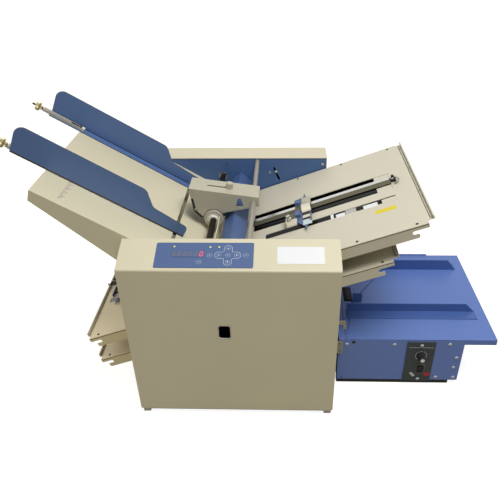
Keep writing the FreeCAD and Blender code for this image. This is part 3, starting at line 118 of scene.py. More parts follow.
class Shader:
    """A Principled material whose colour, roughness and bump come from noise in object space."""

    def __init__(self, name, color, rough, metal=0.0, tint=0.05, tint_scale=7.0, grain=0.02,
                 bump=0.12, stretch=(1, 1, 1)):
        self.material = bpy.data.materials.new(name)
        self.material.use_nodes = True
        self.material.diffuse_color = color
        self.tree = self.material.node_tree
        self.bsdf = self.tree.nodes["Principled BSDF"]
        self.bsdf.inputs["Metallic"].default_value = metal
        self.coords = self.node("ShaderNodeTexCoord").outputs["Object"]
        mapping = self.node("ShaderNodeMapping")
        mapping.inputs["Scale"].default_value = stretch
        self.link(self.coords, mapping.inputs["Vector"])
        self.place = mapping.outputs["Vector"]
        broad = self.noise(tint_scale, BROAD_DETAIL)
        fine = self.noise(FINE_SCALE, FINE_DETAIL)
        self.color = self.mix(broad, scaled(color, 1 - tint), scaled(color, 1 + tint))
        self.recolor(self.math("MULTIPLY", fine, grain * GRAIN_SHARE),
                     scaled(color, 1 - GRAIN_DARK * grain))
        spread = self.node("ShaderNodeMapRange")
        spread.inputs["To Min"].default_value = max(ROUGH_LEAST, rough - ROUGH_SPREAD)
        spread.inputs["To Max"].default_value = min(1.0, rough + ROUGH_SPREAD)
        self.link(broad, spread.inputs["Value"])
        self.link(spread.outputs["Result"], self.bsdf.inputs["Roughness"])
        if bump:
            lift = self.node("ShaderNodeBump")
            lift.inputs["Strength"].default_value = bump
            lift.inputs["Distance"].default_value = BUMP_DEPTH
            self.link(fine, lift.inputs["Height"])
            self.link(lift.outputs["Normal"], self.bsdf.inputs["Normal"])

    def node(self, kind):
        return self.tree.nodes.new(kind)

    def link(self, a, b):
        self.tree.links.new(a, b)

    def noise(self, scale, detail):
        made = self.node("ShaderNodeTexNoise")
        made.inputs["Scale"].default_value = scale
        made.inputs["Detail"].default_value = detail
        self.link(self.place, made.inputs["Vector"])
        return made.outputs["Fac"]

    def mix(self, factor, a, b):
        """A colour mix; a and b are colours or sockets, factor a socket."""
        made = self.node("ShaderNodeMix")
        made.data_type = "RGBA"
        self.link(factor, made.inputs["Factor"])
        for value, socket in ((a, made.inputs[MIX_A]), (b, made.inputs[MIX_B])):
            if isinstance(value, tuple):
                socket.default_value = value
            else:
                self.link(value, socket)
        return made.outputs[MIX_OUT]

    def math(self, operation, a, b):
        made = self.node("ShaderNodeMath")
        made.operation = operation
        for value, socket in zip((a, b), made.inputs):
            if isinstance(value, (int, float)):
                socket.default_value = value
            else:
                self.link(value, socket)
        return made.outputs["Value"]

    def size(self, value):
        return self.math("ABSOLUTE", value, 0.0)

    def every(self, first, *others):
        """One where all of the given zero or one sockets are one."""
        for other in others:
            first = self.math("MULTIPLY", first, other)
        return first

    def dot(self, vector, direction):
        """How far a vector socket reaches along a direction."""
        made = self.node("ShaderNodeVectorMath")
        made.operation = "DOT_PRODUCT"
        self.link(vector, made.inputs[0])
        made.inputs[1].default_value = direction
        return made.outputs["Value"]

    def part(self, vector, axis):
        split = self.node("ShaderNodeSeparateXYZ")
        self.link(vector, split.inputs["Vector"])
        return split.outputs[axis]

    def normal(self):
        return self.node("ShaderNodeNewGeometry").outputs["Normal"]

    def recolor(self, factor, color):
        """Paint a second colour over the first where factor is one."""
        self.color = self.mix(factor, self.color, color)
        self.link(self.color, self.bsdf.inputs["Base Color"])


def paint(name, color, rough, metal=0.0, **look):
    return Shader(name, srgb(*color), rough, metal, **look).material


PLATE_COLORS_LEFT_LIT = ((216, 209, 187), (240, 224, 182))       # right and left fold plates; the left copy is painted lighter and warmer, as painted light
PLATE_LOOK = {"tint": 0.06, "tint_scale": 5.0}
BEIGE_PAINT = paint("beige_paint", (222, 214, 184), 0.42)
PLATE_PAINT = paint("plate_paint", PLATE_COLORS_LEFT_LIT[0], 0.4, **PLATE_LOOK)
BLUE_PAINT = paint("blue_paint", (100, 129, 197), 0.42, tint=0.08)
ARM_PAINT = paint("arm_paint", (191, 185, 162), 0.42)
ROD_PAINT = paint("rod_paint", (158, 153, 137), 0.4)
# painted light: a lighter copy of the blue paint, for the light on the delivery box's front
LIT_BOX_PAINT = paint("lit_box_paint", (108, 134, 202), 0.42, tint=0.08)
FRAME_PAINT = paint("frame_paint", (70, 102, 152), 0.5, tint=0.08)
# painted shade: a darker copy of the blue paint for the delivery rails
SHADED_RAIL_PAINT = paint("shaded_rail_paint", (75, 105, 169), 0.38, tint=0.08)
GUARD_PAINT = paint("guard_paint", (73, 99, 146), 0.4, tint=0.08)
FILM = paint("panel_film", (74, 98, 142), 0.55, tint=0.04, grain=0.01, bump=0.04)
WHITE = paint("white_film", (240, 241, 240), 0.4, tint=0.02, grain=0.005, bump=0.03)
PRINT = paint("white_print", (214, 222, 232), 0.6, tint=0.03, bump=0.0)
BLACK = paint("black_paint", (34, 34, 34), 0.55, tint=0.15)
INK = paint("dark_ink", (96, 92, 82), 0.7, tint=0.1, bump=0.0)
PALE_INK = paint("pale_ink", (176, 166, 150), 0.7, tint=0.1, bump=0.0)
PINK_INK = paint("pink_ink", (214, 188, 176), 0.7, tint=0.1, bump=0.0)
SCALE_INK = paint("scale_ink", (182, 166, 154), 0.7, tint=0.1, bump=0.0)
STOP_PAINT = paint("stop_paint", (84, 103, 142), 0.4, tint=0.08)
PALE_PLATE = paint("pale_plate", (206, 220, 224), 0.35, tint=0.04, bump=0.04)
RUBBER = paint("black_rubber", (38, 37, 35), 0.8, tint=0.2, grain=0.04, bump=0.3)
GREY_RUBBER = paint("grey_rubber", (196, 194, 184), 0.75, tint=0.06, bump=0.3)
TYRE = paint("feed_tyre", (196, 190, 172), 0.8, tint=0.08, grain=0.04, bump=0.4,
             stretch=(1, 0.25, 1))
HUB = paint("wheel_hub", (232, 228, 212), 0.45, tint=0.04)
BAR_METAL = paint("matt_bar_metal", (180, 176, 162), 0.55, 0.3, tint=0.05, bump=0.05)
# a dark rail metal, also used as painted shade on the rails' front flutes
RAIL_METAL_AND_SHADE = paint("rail_metal_and_shade", (102, 97, 78), 0.45, 0.5, tint=0.08, bump=0.05)
HEAD_METAL = paint("screw_metal", (212, 216, 220), 0.35, 0.35, tint=0.05, bump=0.0)
STEEL = paint("bright_steel", (188, 186, 180), 0.28, 1.0, tint=0.1, bump=0.05, stretch=(1, 8, 1))
CHROME = paint("chrome", (214, 213, 208), 0.2, 1.0, tint=0.05, bump=0.0)
STRAP = paint("bright_strap", (222, 216, 196), 0.34, 0.7, tint=0.05, bump=0.0)
BRASS = paint("brass", (180, 170, 136), 0.4, 0.9, tint=0.12, bump=0.05)
# dark steel, also used as painted shadow beside the stops' straps
DARK_STEEL_AND_SHADE = paint("dark_steel_and_shade", (44, 41, 34), 0.4, 0.8, tint=0.15, bump=0.1)
PLASTIC = paint("black_plastic", (17, 17, 18), 0.5, tint=0.15, bump=0.06)
SPEED_PAINT = paint("speed_plate_paint", (60, 67, 71), 0.5, tint=0.1)
YELLOW = paint("yellow_sticker", (228, 210, 44), 0.5, tint=0.03, bump=0.0)
RED = paint("red_marker", (178, 40, 60), 0.35, tint=0.05, bump=0.0)
GREY_LABEL = paint("grey_label", (204, 208, 206), 0.6, tint=0.05, bump=0.0)
DIM_GREY = paint("dim_grey_rim", (112, 118, 116), 0.6, tint=0.05, bump=0.0)
DIM_DIGIT = paint("unlit_digit", (126, 112, 92), 0.5, tint=0.05, bump=0.0)
SEAM = paint("seam_shadow", (74, 66, 50), 0.8, tint=0.1, bump=0.0)


def glowing(name, color, strength):
    made = Shader(name, color, 0.4, tint=0.03, bump=0.0)
    made.bsdf.inputs["Emission Color"].default_value = color
    made.bsdf.inputs["Emission Strength"].default_value = strength
    return made.material


LIT_DIGIT = glowing("lit_digit", srgb(255, 60, 80), 0.9)
LED = glowing("led_lens", srgb(228, 226, 120), 0.25)

SIDE_FACING = 0.6                               # a guide's sheet, and not its rim, faces this far
GUIDE_RIM, GUIDE_SHADOW_LINE = 4.0, 3.8                # heights above the table: where the dark rim starts, and the top of the painted shadow line at the foot
SHADE_DOWN_FACING, SHADE_INSIDE_MARGIN, SHADE_END_MARGIN = -0.5, 4.0, 1.0     # of the painted shade on a fold plate's inside


def guide_paint():
    """Blue paint with the guides' dark edge along the top, and a painted shadow line along their
    foot where they meet the table.
    """
    made = Shader("guide_paint", srgb(86, 115, 164), 0.5, tint=0.06)
    sideways = made.size(made.part(made.normal(), "Y"))
    rim = made.math("LESS_THAN", sideways, SIDE_FACING)
    sheet = made.math("GREATER_THAN", sideways, SIDE_FACING)
    a = math.radians(TABLE_ANGLE)
    upright = Vector((math.sin(a), 0.0, math.cos(a)))
    height = made.dot(made.coords, upright)
    face = (GROUND @ Vector((TABLE_X, 0, TABLE_Z))).dot(upright)
    above = made.math("GREATER_THAN", height, face + GUIDE_RIM * MM)
    made.recolor(made.every(rim, above), srgb(52, 54, 62))
    # painted shadow: a dark line on the guide's sheet just above the table
    foot = made.math("LESS_THAN", height, face + GUIDE_SHADOW_LINE * MM)
    made.recolor(made.every(sheet, foot), srgb(60, 58, 56))
    return made.material


def plate_paint(index):
    """A fold plate's paint, with painted shade on its inside that shows through its openings."""
    made = Shader(f"plate_paint_{index + 1}", srgb(*by_side(index, PLATE_COLORS_LEFT_LIT)), 0.4,
                  **PLATE_LOOK)
    a = math.radians(PLATE_ANGLE)
    upright = Vector((-math.sin(a), 0.0, math.cos(a)))
    outward = Vector((math.cos(a), 0.0, math.sin(a))) * PLATES[index][0]
    corner = plate_frame(index) @ Vector((0.0, 0.0, 0.0))
    face, start = corner.dot(upright), corner.dot(outward)
    below = made.math("LESS_THAN", made.dot(made.coords, upright), face + UNDER_SKIN * MM)
    middle = (PLATE_Y0 + PLATE_Y1) / 2 * MM - ORIGIN.y
    across = made.size(made.math("SUBTRACT", made.part(made.coords, "Y"), middle))
    inside = made.math("LESS_THAN", across, ((PLATE_Y1 - PLATE_Y0) / 2 - SHADE_INSIDE_MARGIN) * MM)
    upward = made.math("GREATER_THAN", made.dot(made.normal(), upright), SHADE_DOWN_FACING)
    before = made.math("LESS_THAN", made.dot(made.coords, outward),
                       start + (skin_end(index) - SHADE_END_MARGIN) * MM)
    # painted shade: near-black on the plate's inside below the top sheet, where shade falls
    made.recolor(made.every(below, inside, before, upward), srgb(22, 21, 16))
    return made.material


GUIDE_PAINT = guide_paint()


# ---- mesh code -------------------------------------------------------
ARC_STEPS, SHARP_ANGLE = 6, math.radians(35)
UP, FRONT = (0, 0, 1), (0, -1, 0)


def rounded(corners):
    """Replace each (a, b, radius) corner of an outline by points on an arc."""
    points = []
    for i, corner in enumerate(corners):
        here = Vector(corner[:2])
        radius = corner[2] if len(corner) > 2 else 0.0
        if not radius:
            points.append(tuple(here))
            continue
        before = (Vector(corners[i - 1][:2]) - here).normalized()
        after = (Vector(corners[(i + 1) % len(corners)][:2]) - here).normalized()
        half = before.angle(after) / 2
        middle = here + (before + after).normalized() * radius / math.sin(half)
        start = here + before * radius / math.tan(half) - middle
        turn = start.angle_signed(here + after * radius / math.tan(half) - middle)
        for k in range(ARC_STEPS + 1):
            points.append(tuple(middle + Matrix.Rotation(-turn * k / ARC_STEPS, 2) @ start))
    return points


def rounded_box(a, b, half_a, half_b, radius):
    """A rectangle's outline about (a, b) with rounded corners."""
    return rounded([(a - half_a, b - half_b, radius), (a + half_a, b - half_b, radius),
                    (a + half_a, b + half_b, radius), (a - half_a, b + half_b, radius)])


def point_on(axis, a, b, c):
    """A point at c on an axis and at a and b on the other two, in order."""
    return {"X": (c, a, b), "Y": (a, c, b), "Z": (a, b, c)}[axis]


class Piece:
    """Solids laid out in millimetres in a local frame, gathered into one object."""

    def __init__(self, place=GROUND):
        self.bm = bmesh.new()
        self.place = place
        self.materials = []

    def index(self, material):
        if material not in self.materials:
            self.materials.append(material)
        return self.materials.index(material)

    def loft(self, rings, material, caps=True):
        """Join rings with equal counts of points; caps close the first and the last ring."""
        slot = self.index(material)
        rows = [[self.bm.verts.new(self.place @ Vector(p)) for p in ring] for ring in rings]
        if not caps:
            rows.append(rows[0])
        faces = []
        for a, b in zip(rows, rows[1:]):
            for i in range(len(a)):
                j = (i + 1) % len(a)
                faces.append(self.bm.faces.new((a[i], a[j], b[j], b[i])))
        if caps:
            faces += [self.bm.faces.new(rows[0][::-1]), self.bm.faces.new(rows[-1])]
        for face in faces:
            face.material_index = slot

    def prism(self, outline, axis, low, high, material):
        """Extrude an outline along an axis; the outline's pair is the other two, in order."""
        flat = rounded(outline)
        self.loft([[point_on(axis, a, b, c) for a, b in flat] for c in (low, high)], material)

    def frame_strip(self, outer, inner, axis, low, high, material):
        """A flat closed band between two outlines with equal counts of points."""
        rings = [[point_on(axis, a, b, c) for a, b in line]
                 for line, c in ((outer, low), (outer, high), (inner, high), (inner, low))]
        self.loft(rings, material, caps=False)

    def box(self, x0, x1, y0, y1, z0, z1, material):
        self.prism([(x0, y0), (x1, y0), (x1, y1), (x0, y1)], "Z", z0, z1, material)

    def turned(self, profile, base, direction, material, count=32, ridges=0, depth=0.0,
               hollow=False):
        """Revolve (radius, along) points about a line; ridges cut grooves of the given depth."""
        axis = Vector(direction).normalized()
        side = axis.orthogonal().normalized()
        other = axis.cross(side)
        rings = []
        for radius, along in profile:
            ring = []
            for k in range(count):
                angle = 2 * math.pi * k / count
                r = radius
                if ridges and radius > depth * 3:
                    r -= depth * (0.5 - 0.5 * math.cos(angle * ridges))
                ring.append(Vector(base) + axis * along
                            + (side * math.cos(angle) + other * math.sin(angle)) * r)
            rings.append(ring)
        self.loft(rings, material, caps=not hollow)

    def make(self, name, body, slot, bevel=0.0, replaces=()):
        """Turn the solids into a named object on a body, in the place of the given nodes."""
        bmesh.ops.recalc_face_normals(self.bm, faces=self.bm.faces)
        mesh = bpy.data.meshes.new(name)
        self.bm.to_mesh(mesh)
        self.bm.free()
        mesh.shade_smooth()
        mesh.set_sharp_from_angle(angle=SHARP_ANGLE)
        obj = bpy.data.objects.new(name, mesh)
        bpy.context.scene.collection.objects.link(obj)
        for material in self.materials:
            mesh.materials.append(material)
        if bevel:
            soften(obj, bevel)
        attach(obj, body)
        if replaces:
            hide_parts(*replaces)
        return obj


def soften(obj, width):
    """Round a piece's sharp edges by a bevel given in millimetres."""
    bevel = obj.modifiers.new("soft_edges", "BEVEL")
    bevel.width = width * MM
    bevel.segments = 2
    bevel.limit_method = "ANGLE"
    bevel.angle_limit = SHARP_ANGLE
    bevel.harden_normals = True


# a screw head's recess: turn in radians, the rest as shares of the radius or height, and a lift
CROSS_TURN, CROSS_REACH, CROSS_HALF, CROSS_DEPTH, CROSS_LIFT = 0.6, 0.5, 0.13, 0.3, 0.04


def screw_head(piece, x, y, z, direction, radius, height, material=STEEL):
    """A domed head with a dark cross recess, standing on (x, y, z)."""
    axis = Vector(direction).normalized()
    profile = [(radius, 0.0), (radius, height * 0.45), (radius * 0.8, height * 0.8),
               (radius * 0.45, height)]
    piece.turned(profile, (x, y, z), axis, material, count=20)
    side = Matrix.Rotation(CROSS_TURN, 3, axis) @ axis.orthogonal().normalized()
    other = axis.cross(side)
    top = Vector((x, y, z)) + axis * height
    for a, b in ((side, other), (other, side)):
        half, thin = a * radius * CROSS_REACH, b * radius * CROSS_HALF
        ring = [top - half - thin, top + half - thin, top + half + thin, top - half + thin]
        piece.loft([[p - axis * height * CROSS_DEPTH for p in ring],
                    [p + axis * CROSS_LIFT for p in ring]], INK)


# ---- carried-over parts ----------------------------------------------
OPEN_SHELLS = ("front_cover", "rear_cover")     # their rims must not be joined into one face
WELD_WITHIN, FLAT_WITHIN = 1e-5, math.radians(1)


def dress(name, material, bevel=0.0):
    """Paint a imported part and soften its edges."""
    obj = nodes[name]
    for material_slot in obj.material_slots:
        material_slot.material = material
    if bevel:
        weld = obj.modifiers.new("weld", "WELD")
        weld.merge_threshold = WELD_WITHIN
        if name not in OPEN_SHELLS:
            flat = obj.modifiers.new("flat", "DECIMATE")
            flat.decimate_type = "DISSOLVE"
            flat.angle_limit = FLAT_WITHIN
        soften(obj, bevel)


FINISHES = (
    (BEIGE_PAINT, 1.4, ("front_cover", "rear_cover")),
    (BEIGE_PAINT, 1.6, ("feed_table",)),
    (ARM_PAINT, 0.8, ("separator_arm",)),
    (ROD_PAINT, 0.4, ("arm_pivot_rod", "docking_brackets")),
    (PLATE_PAINT, 0.5, ("plate_end_bars",)),
    (FRAME_PAINT, 0.0, ("front_side_frame", "rear_side_frame")),
    (GUARD_PAINT, 0.4, ("roller_guard",)),
    (BLUE_PAINT, 0.9, ("delivery_top",)),
    (LIT_BOX_PAINT, 0.9, ("delivery_box",)),
    (SHADED_RAIL_PAINT, 0.4, ("front_delivery_rail", "rear_delivery_rail")),
    (GUIDE_PAINT, 0.3, ("front_side_guide", "rear_side_guide")),
    (BLACK, 0.5, ("base_plate", "drive_motor", "delivery_motor")),
    (GREY_RUBBER, 1.0, ("corner_feet",)),
    (RUBBER, 0.6, ("delivery_base_strips", "separator_strip", "drive_belts", "delivery_roller")),
    (RUBBER, 0.0, tuple(f"fold_roller_{i}" for i in range(1, 7))),
    (STEEL, 0.3, ("tie_rods", "shaft_bushes", "plate_studs", "motor_pulley")),
    (DARK_STEEL_AND_SHADE, 0.0, ("feed_shaft",)),
    (FILM, 0.3, ("control_panel", "display_window")),
    (SPEED_PAINT, 0.3, ("speed_plate",)),
    (PLASTIC, 0.4, ("power_rocker", "speed_knob")),
)
for finish, width, names in FINISHES:
    for node_name in names:
        dress(node_name, finish, width)
for plate_index in range(len(PLATES)):
    dress(f"fold_plate_{plate_index + 1}", plate_paint(plate_index), 0.5)


# ---- sloping strip ---------------------------------------------------
PANEL_TOP, DOME, PRINT_T, SYMBOL_T = 1.25, 0.5, 0.12, 0.1
KEY_X, KEY_V, KEY_RING, KEY_LINE = 198.4, 34.0, 4.6, 0.7
CROSS_RING, CROSS_LINE, CROSS_CORNER, CROSS_ROUND = 7.6, 0.6, 1.0, 0.98
CROSS_UP, CROSS_LEFT, CROSS_RIGHT = 15.0, 16.5, 15.9
OUTER_KEYS = ((0.0, CROSS_UP, 0), (0.0, -CROSS_UP, 180), (-CROSS_LEFT, 0.0, 90),
              (CROSS_RIGHT, 0.0, -90))          # with the arrow's turn
PLAIN_KEYS = ((0.0, 0.0), (-32.8, 0.0), (32.3, 0.0), (-51.0, -15.0))
ARROW = ((0, 1.9), (-1.8, -1.2), (1.8, -1.2))
DASH_X, DASH_V = 1.9, 0.45
DISPLAY_X0, DISPLAY_X1, DISPLAY_V = 97.0, 155.4, 29.9
DIGITS, DIGIT_W, DIGIT_H, DIGIT_INSET = 6, 6.0, 10.6, 1.2
DIGIT_BAR, DIGIT_LEAN, DIGIT_GAP, DIGIT_LOW, DIGIT_TOP = 1.15, 0.12, 0.25, 0.41, 0.5
FLAT_BARS = ("top", "middle", "low")
UPRIGHT_BARS = ("left_up", "right_up", "left_low", "right_low")
LEDS = ((100.4, 53.2), (165.7, 52.1), (181.8, 52.3))


def blank_plate():
    """The plain white plate at the right of the strip, with nothing on it."""
    plate = Piece(STRIP)
    plate.prism(rounded_box(328.5, 35.0, 42.0, 19.1, 0.8), "Z", 0.05, 0.5, WHITE)
    plate.make("blank_plate", "machine", "film", bevel=0.12)


def cross_outline(half):
    """The outline around the cross of keys, at half a key's width from their middles."""
    corner, end = CROSS_CORNER + CROSS_RING - half, half * CROSS_ROUND
    left, right, up = CROSS_LEFT + half, CROSS_RIGHT + half, CROSS_UP + half
    line = rounded([(half, half, corner), (right, half, end), (right, -half, end),
                    (half, -half, corner), (half, -up, end), (-half, -up, end),
                    (-half, -half, corner), (-left, -half, end), (-left, half, end),
                    (-half, half, corner), (-half, up, end), (half, up, end)])
    return [(KEY_X + a, KEY_V + b) for a, b in line]


def panel_print():
    """The keys' rings, the line around the cross, and an arrow or a dash on each key."""
    lines = Piece(STRIP)
    dome = PANEL_TOP + DOME
    ring = [(KEY_RING, 0), (KEY_RING, PRINT_T), (KEY_RING - KEY_LINE, PRINT_T),
            (KEY_RING - KEY_LINE, 0)]
    cross_keys = PLAIN_KEYS[:1] + tuple(key[:2] for key in OUTER_KEYS)
    for dx, dv in cross_keys + PLAIN_KEYS[1:]:
        place = (KEY_X + dx, KEY_V + dv, PANEL_TOP)
        lines.turned(ring, place, UP, PRINT, count=28, hollow=True)
    lines.frame_strip(cross_outline(CROSS_RING), cross_outline(CROSS_RING - CROSS_LINE), "Z",
                      PANEL_TOP, PANEL_TOP + PRINT_T, PRINT)
    for dx, dv, turn in OUTER_KEYS:
        arrow = [Matrix.Rotation(math.radians(turn), 2) @ Vector(p) for p in ARROW]
        lines.prism([(KEY_X + dx + p.x, KEY_V + dv + p.y) for p in arrow], "Z", dome,
                    dome + SYMBOL_T, PRINT)
    for dx, dv in PLAIN_KEYS:
        x, v = KEY_X + dx, KEY_V + dv
        lines.box(x - DASH_X, x + DASH_X, v - DASH_V, v + DASH_V, dome, dome + SYMBOL_T, PRINT)
    lines.make("panel_print", "machine", "film")


def digit(piece, place, names, material):
    """The named bars of a seven-bar digit at a place from the left, each a thin slanted block."""
    x = DISPLAY_X0 + place * (DISPLAY_X1 - DISPLAY_X0) / DIGITS + DIGIT_INSET
    v = DISPLAY_V + DIGIT_INSET
    bar, w, h, half = DIGIT_BAR, DIGIT_W, DIGIT_H, DIGIT_H / 2
    spans = {"top": (0, h - bar, w, h), "middle": (0, half - bar / 2, w, half + bar / 2),
             "low": (0, 0, w, bar), "left_up": (0, half, bar, h), "right_up": (w - bar, half, w, h),
             "left_low": (0, 0, bar, half), "right_low": (w - bar, 0, w, half)}
    for name in names:
        a0, b0, a1, b1 = spans[name]
        if name in FLAT_BARS:
            a0, a1 = a0 + bar + DIGIT_GAP, a1 - bar - DIGIT_GAP
        else:
            b0, b1 = b0 + DIGIT_GAP + bar / 2, b1 - DIGIT_GAP - bar / 2
        corners = ((a0, b0), (a1, b0), (a1, b1), (a0, b1))
        piece.prism([(x + a + b * DIGIT_LEAN, v + b) for a, b in corners], "Z",
                    PANEL_TOP + DIGIT_LOW, PANEL_TOP + DIGIT_TOP, material)


def display_digits():
    """Unlit digits, and a lit zero at the right."""
    unlit, lit = Piece(STRIP), Piece(STRIP)
    for place in range(DIGITS - 1):
        digit(unlit, place, FLAT_BARS + UPRIGHT_BARS, DIM_DIGIT)
    digit(lit, DIGITS - 1, ("top", "low") + UPRIGHT_BARS, LIT_DIGIT)
    unlit.make("display_digits", "machine", "screen")
    lit.make("display_lit_digit", "machine", "screen")


def panel_leds():
    leds = Piece(STRIP)
    for x, v in LEDS:
        profile = [(1.7, 0.0), (1.7, 0.35), (1.2, 0.75), (0.5, 0.95)]
        leds.turned(profile, (x, v, PANEL_TOP), UP, LED, count=20)
    leds.make("panel_leds", "machine", "screen")


blank_plate()
panel_print()
display_digits()
panel_leds()


# ---- feeder ----------------------------------------------------------
ADJUSTERS = (("front", 162.8, 8.0), ("rear", 361.2, 0.0))   # side, y, shift along the table
BAR_U0, BAR_U1, BAR_W, BAR_H, BAR_LOW = -86.0, 8.0, 12.0, 5.0, 1.85
THREAD_R, THREAD_ROOT, THREAD_L, THREAD_PITCH = 2.2, 0.78, 24.0, 1.2
KNOB_R, KNOB_T, KNOB_GAP, KNOB_EDGE, NECK_R, NECK_L = 9.5, 8.0, 8.0, 1.2, 4.75, 6.0
TICKS, TICKS_U, TICK_STEP, TICK_W, TICK_INSET = 28, -82.0, 2.0, 0.5, 0.3
BAR_SLOT, BAR_DOT, BAR_BLOCK = (-23.0, -6.0, 3.2), -2.5, (1.5, 7.5, 3.4)
SHAFT_X, SHAFT_Z, SHAFT_BORE = 149.5, 342.0, 6.55
WHEEL_R, WHEEL_HALF, TYRE_R, WHEEL_EDGE = 20.0, 30.0, 14.0, 0.8
GROOVES, GROOVE_PITCH, GROOVE_HALF, GROOVE_DEPTH = 9, 6.25, 0.6, 0.7
HUB_R, HUB_OUT, HUB_IN = 9.0, 6.0, 0.6
# rows of ticks on the table: count, place, reach, growth over three, y, pitch, width, ink
SCALES = ((14, 47.0, 4.0, 3.0, 86.0, 5.2, 2.6, SCALE_INK),
          (8, 280.0, 5.0, 0.0, 118.0, 5.0, 0.8, PALE_INK))
SCALE_T = 0.08
THROAT_STRIP_X, THROAT_STRIP_Z = (162.0, 164.0), (336.0, 351.0)
ARM_HALF, ARM_SCREW_X, ARM_SCREW_Z, GRIP_X = 27.0, 113.8, 364.3, 183.0
WINDOW_X, WINDOW_Z, WINDOW_W, WINDOW_H, WINDOW_R = 186.7, 223.2, 11.5, 16.0, 6.0    # half sizes


def ruled_bar(side, y, place):
    """A side guide's ruled bar with its slot, dot, white block and threaded end."""
    bar = Piece(place)
    top, mid = BAR_LOW + BAR_H, BAR_LOW + BAR_H / 2
    bar.box(BAR_U0, BAR_U1, y - BAR_W / 2, y + BAR_W / 2, BAR_LOW, top - 0.05, BAR_METAL)
    thread = []
    for k in range(int(THREAD_L / THREAD_PITCH)):
        thread += [(THREAD_R, k * THREAD_PITCH),
                   (THREAD_R * THREAD_ROOT, (k + 0.5) * THREAD_PITCH)]
    bar.turned(thread + [(THREAD_R, THREAD_L)], (BAR_U0 - THREAD_L, y, mid), (1, 0, 0),
               DARK_STEEL_AND_SHADE, count=20)
    for k in range(TICKS):
        u, start = TICKS_U + k * TICK_STEP, y - BAR_W / 2 + TICK_INSET
        reach = BAR_W / 2 - 2 * TICK_INSET if k % 5 == 0 else BAR_W / 4
        bar.box(u, u + TICK_W, start, start + reach, top - 0.1, top, INK)
    # painted shade: a black sheet for the slot's dark inside
    u0, u1, half = BAR_SLOT
    bar.box(u0, u1, y - half, y + half, top - 0.1, top + 0.05, BLACK)
    bar.turned([(3.0, 0), (3.0, 1.2), (2.0, 1.8)], (BAR_DOT, y, top), UP, BLACK, count=20)
    u0, u1, half = BAR_BLOCK
    bar.box(u0, u1, y - half, y + half, top - 0.1, top + 1.6, WHITE)
    bar.make(side + "_ruled_bar", side + "_guide", "steel", bevel=0.2,
             replaces=(side + "_adjuster_bar",))


def knurled_knob(side, y, place):
    """The knurled nut with a neck that runs on the bar's thread."""
    knob = Piece(place)
    bore = THREAD_R + 0.1
    profile = [(bore, 0.0), (KNOB_R - KNOB_EDGE, 0.0), (KNOB_R, KNOB_EDGE),
               (KNOB_R, KNOB_T - KNOB_EDGE), (KNOB_R - KNOB_EDGE, KNOB_T), (NECK_R, KNOB_T),
               (NECK_R, KNOB_T + NECK_L), (bore, KNOB_T + NECK_L)]
    knob.turned(profile, (BAR_U0 - KNOB_GAP - KNOB_T, y, BAR_LOW + BAR_H / 2), (1, 0, 0), BRASS,
                count=120, ridges=30, depth=0.7, hollow=True)
    knob.make(side + "_knurled_knob", side + "_adjuster", "brass",
              replaces=(side + "_adjuster_knob",))


def feed_wheel():
    """A grooved tyre on a flanged hub, in the middle of the feed shaft."""
    wheel = Piece()
    base, r, half = (SHAFT_X, MID_Y, SHAFT_Z), WHEEL_R, WHEEL_HALF
    tyre = [(TYRE_R, -half), (r - WHEEL_EDGE, -half), (r, -half + WHEEL_EDGE)]
    for k in range(GROOVES):
        y = -half + 5 + k * GROOVE_PITCH
        tyre += [(r, y - GROOVE_HALF), (r - GROOVE_DEPTH, y), (r, y + GROOVE_HALF)]
    tyre += [(r, half - WHEEL_EDGE), (r - WHEEL_EDGE, half), (TYRE_R, half)]
    wheel.turned(tyre, base, (0, 1, 0), TYRE, count=56, hollow=True)
    edge, inner, web = half + HUB_OUT, half - HUB_IN, TYRE_R - 0.1
    core = [(SHAFT_BORE, -edge), (HUB_R, -edge), (HUB_R, -inner), (web, -inner),
            (web, inner), (HUB_R, inner), (HUB_R, edge), (SHAFT_BORE, edge)]
    wheel.turned(core, base, (0, 1, 0), HUB, count=48, hollow=True)
    wheel.make("feed_wheel_tyre", "feed_roller", "rubber_beige", bevel=0.25,
               replaces=("feed_wheel",))


def table_scale():
    """Pale ruler ticks across the table and beside its throat."""
    ticks = Piece(TABLE)
    for count, u, reach, longer, y0, pitch, width, ink in SCALES:
        for k in range(count):
            y = y0 + k * pitch
            ticks.box(u, u + reach + longer * (k % 3), y, y + width, 0.0, SCALE_T, ink)
    ticks.make("table_scale", "machine", "beige")


def throat_strip():
    """The upright beige strip beside the feed shaft, from the front frame to the feed wheel."""
    strip = Piece()
    (x0, x1), (z0, z1) = THROAT_STRIP_X, THROAT_STRIP_Z
    strip.prism([(x0, z0), (x1, z0), (x1, z1), (x0, z1)], "Y", FRAME_F + 0.3, MID_Y - 34.0,
                BEIGE_PAINT)
    strip.make("throat_strip", "machine", "beige", bevel=0.3)


def arm_details():
    """Screws on the separator arm's cheeks, and the ridged grip on its slot."""
    screws = Piece()
    for way in (-1, 1):
        screw_head(screws, ARM_SCREW_X, MID_Y + way * ARM_HALF, ARM_SCREW_Z, (0, way, 0), 3.2, 1.5)
    screws.make("arm_screws", "arm", "steel")
    drop = (GRIP_X - ARM_LEFT) * math.tan(math.radians(ARM_ANGLE))
    knob = Piece(sloped(ARM_ANGLE, "Y", GRIP_X, MID_Y, ARM_TOP - drop))
    profile = [(7.0, 0.3), (7.5, 0.8), (7.5, 11.3), (6.6, 12.3)]
    knob.turned(profile, (0, 0, 0), UP, ARM_PAINT, count=96, ridges=24, depth=0.5)
    knob.turned([(2.0, -1.8), (2.0, 0.3)], (0, 0, 0), UP, STEEL, count=16)
    knob.turned([(5.5, -4.8), (5.5, -1.8)], (0, 0, 0), UP, STEEL, count=6)
    knob.make("arm_grip", "arm_knob", "beige", replaces=("separator_knob",))


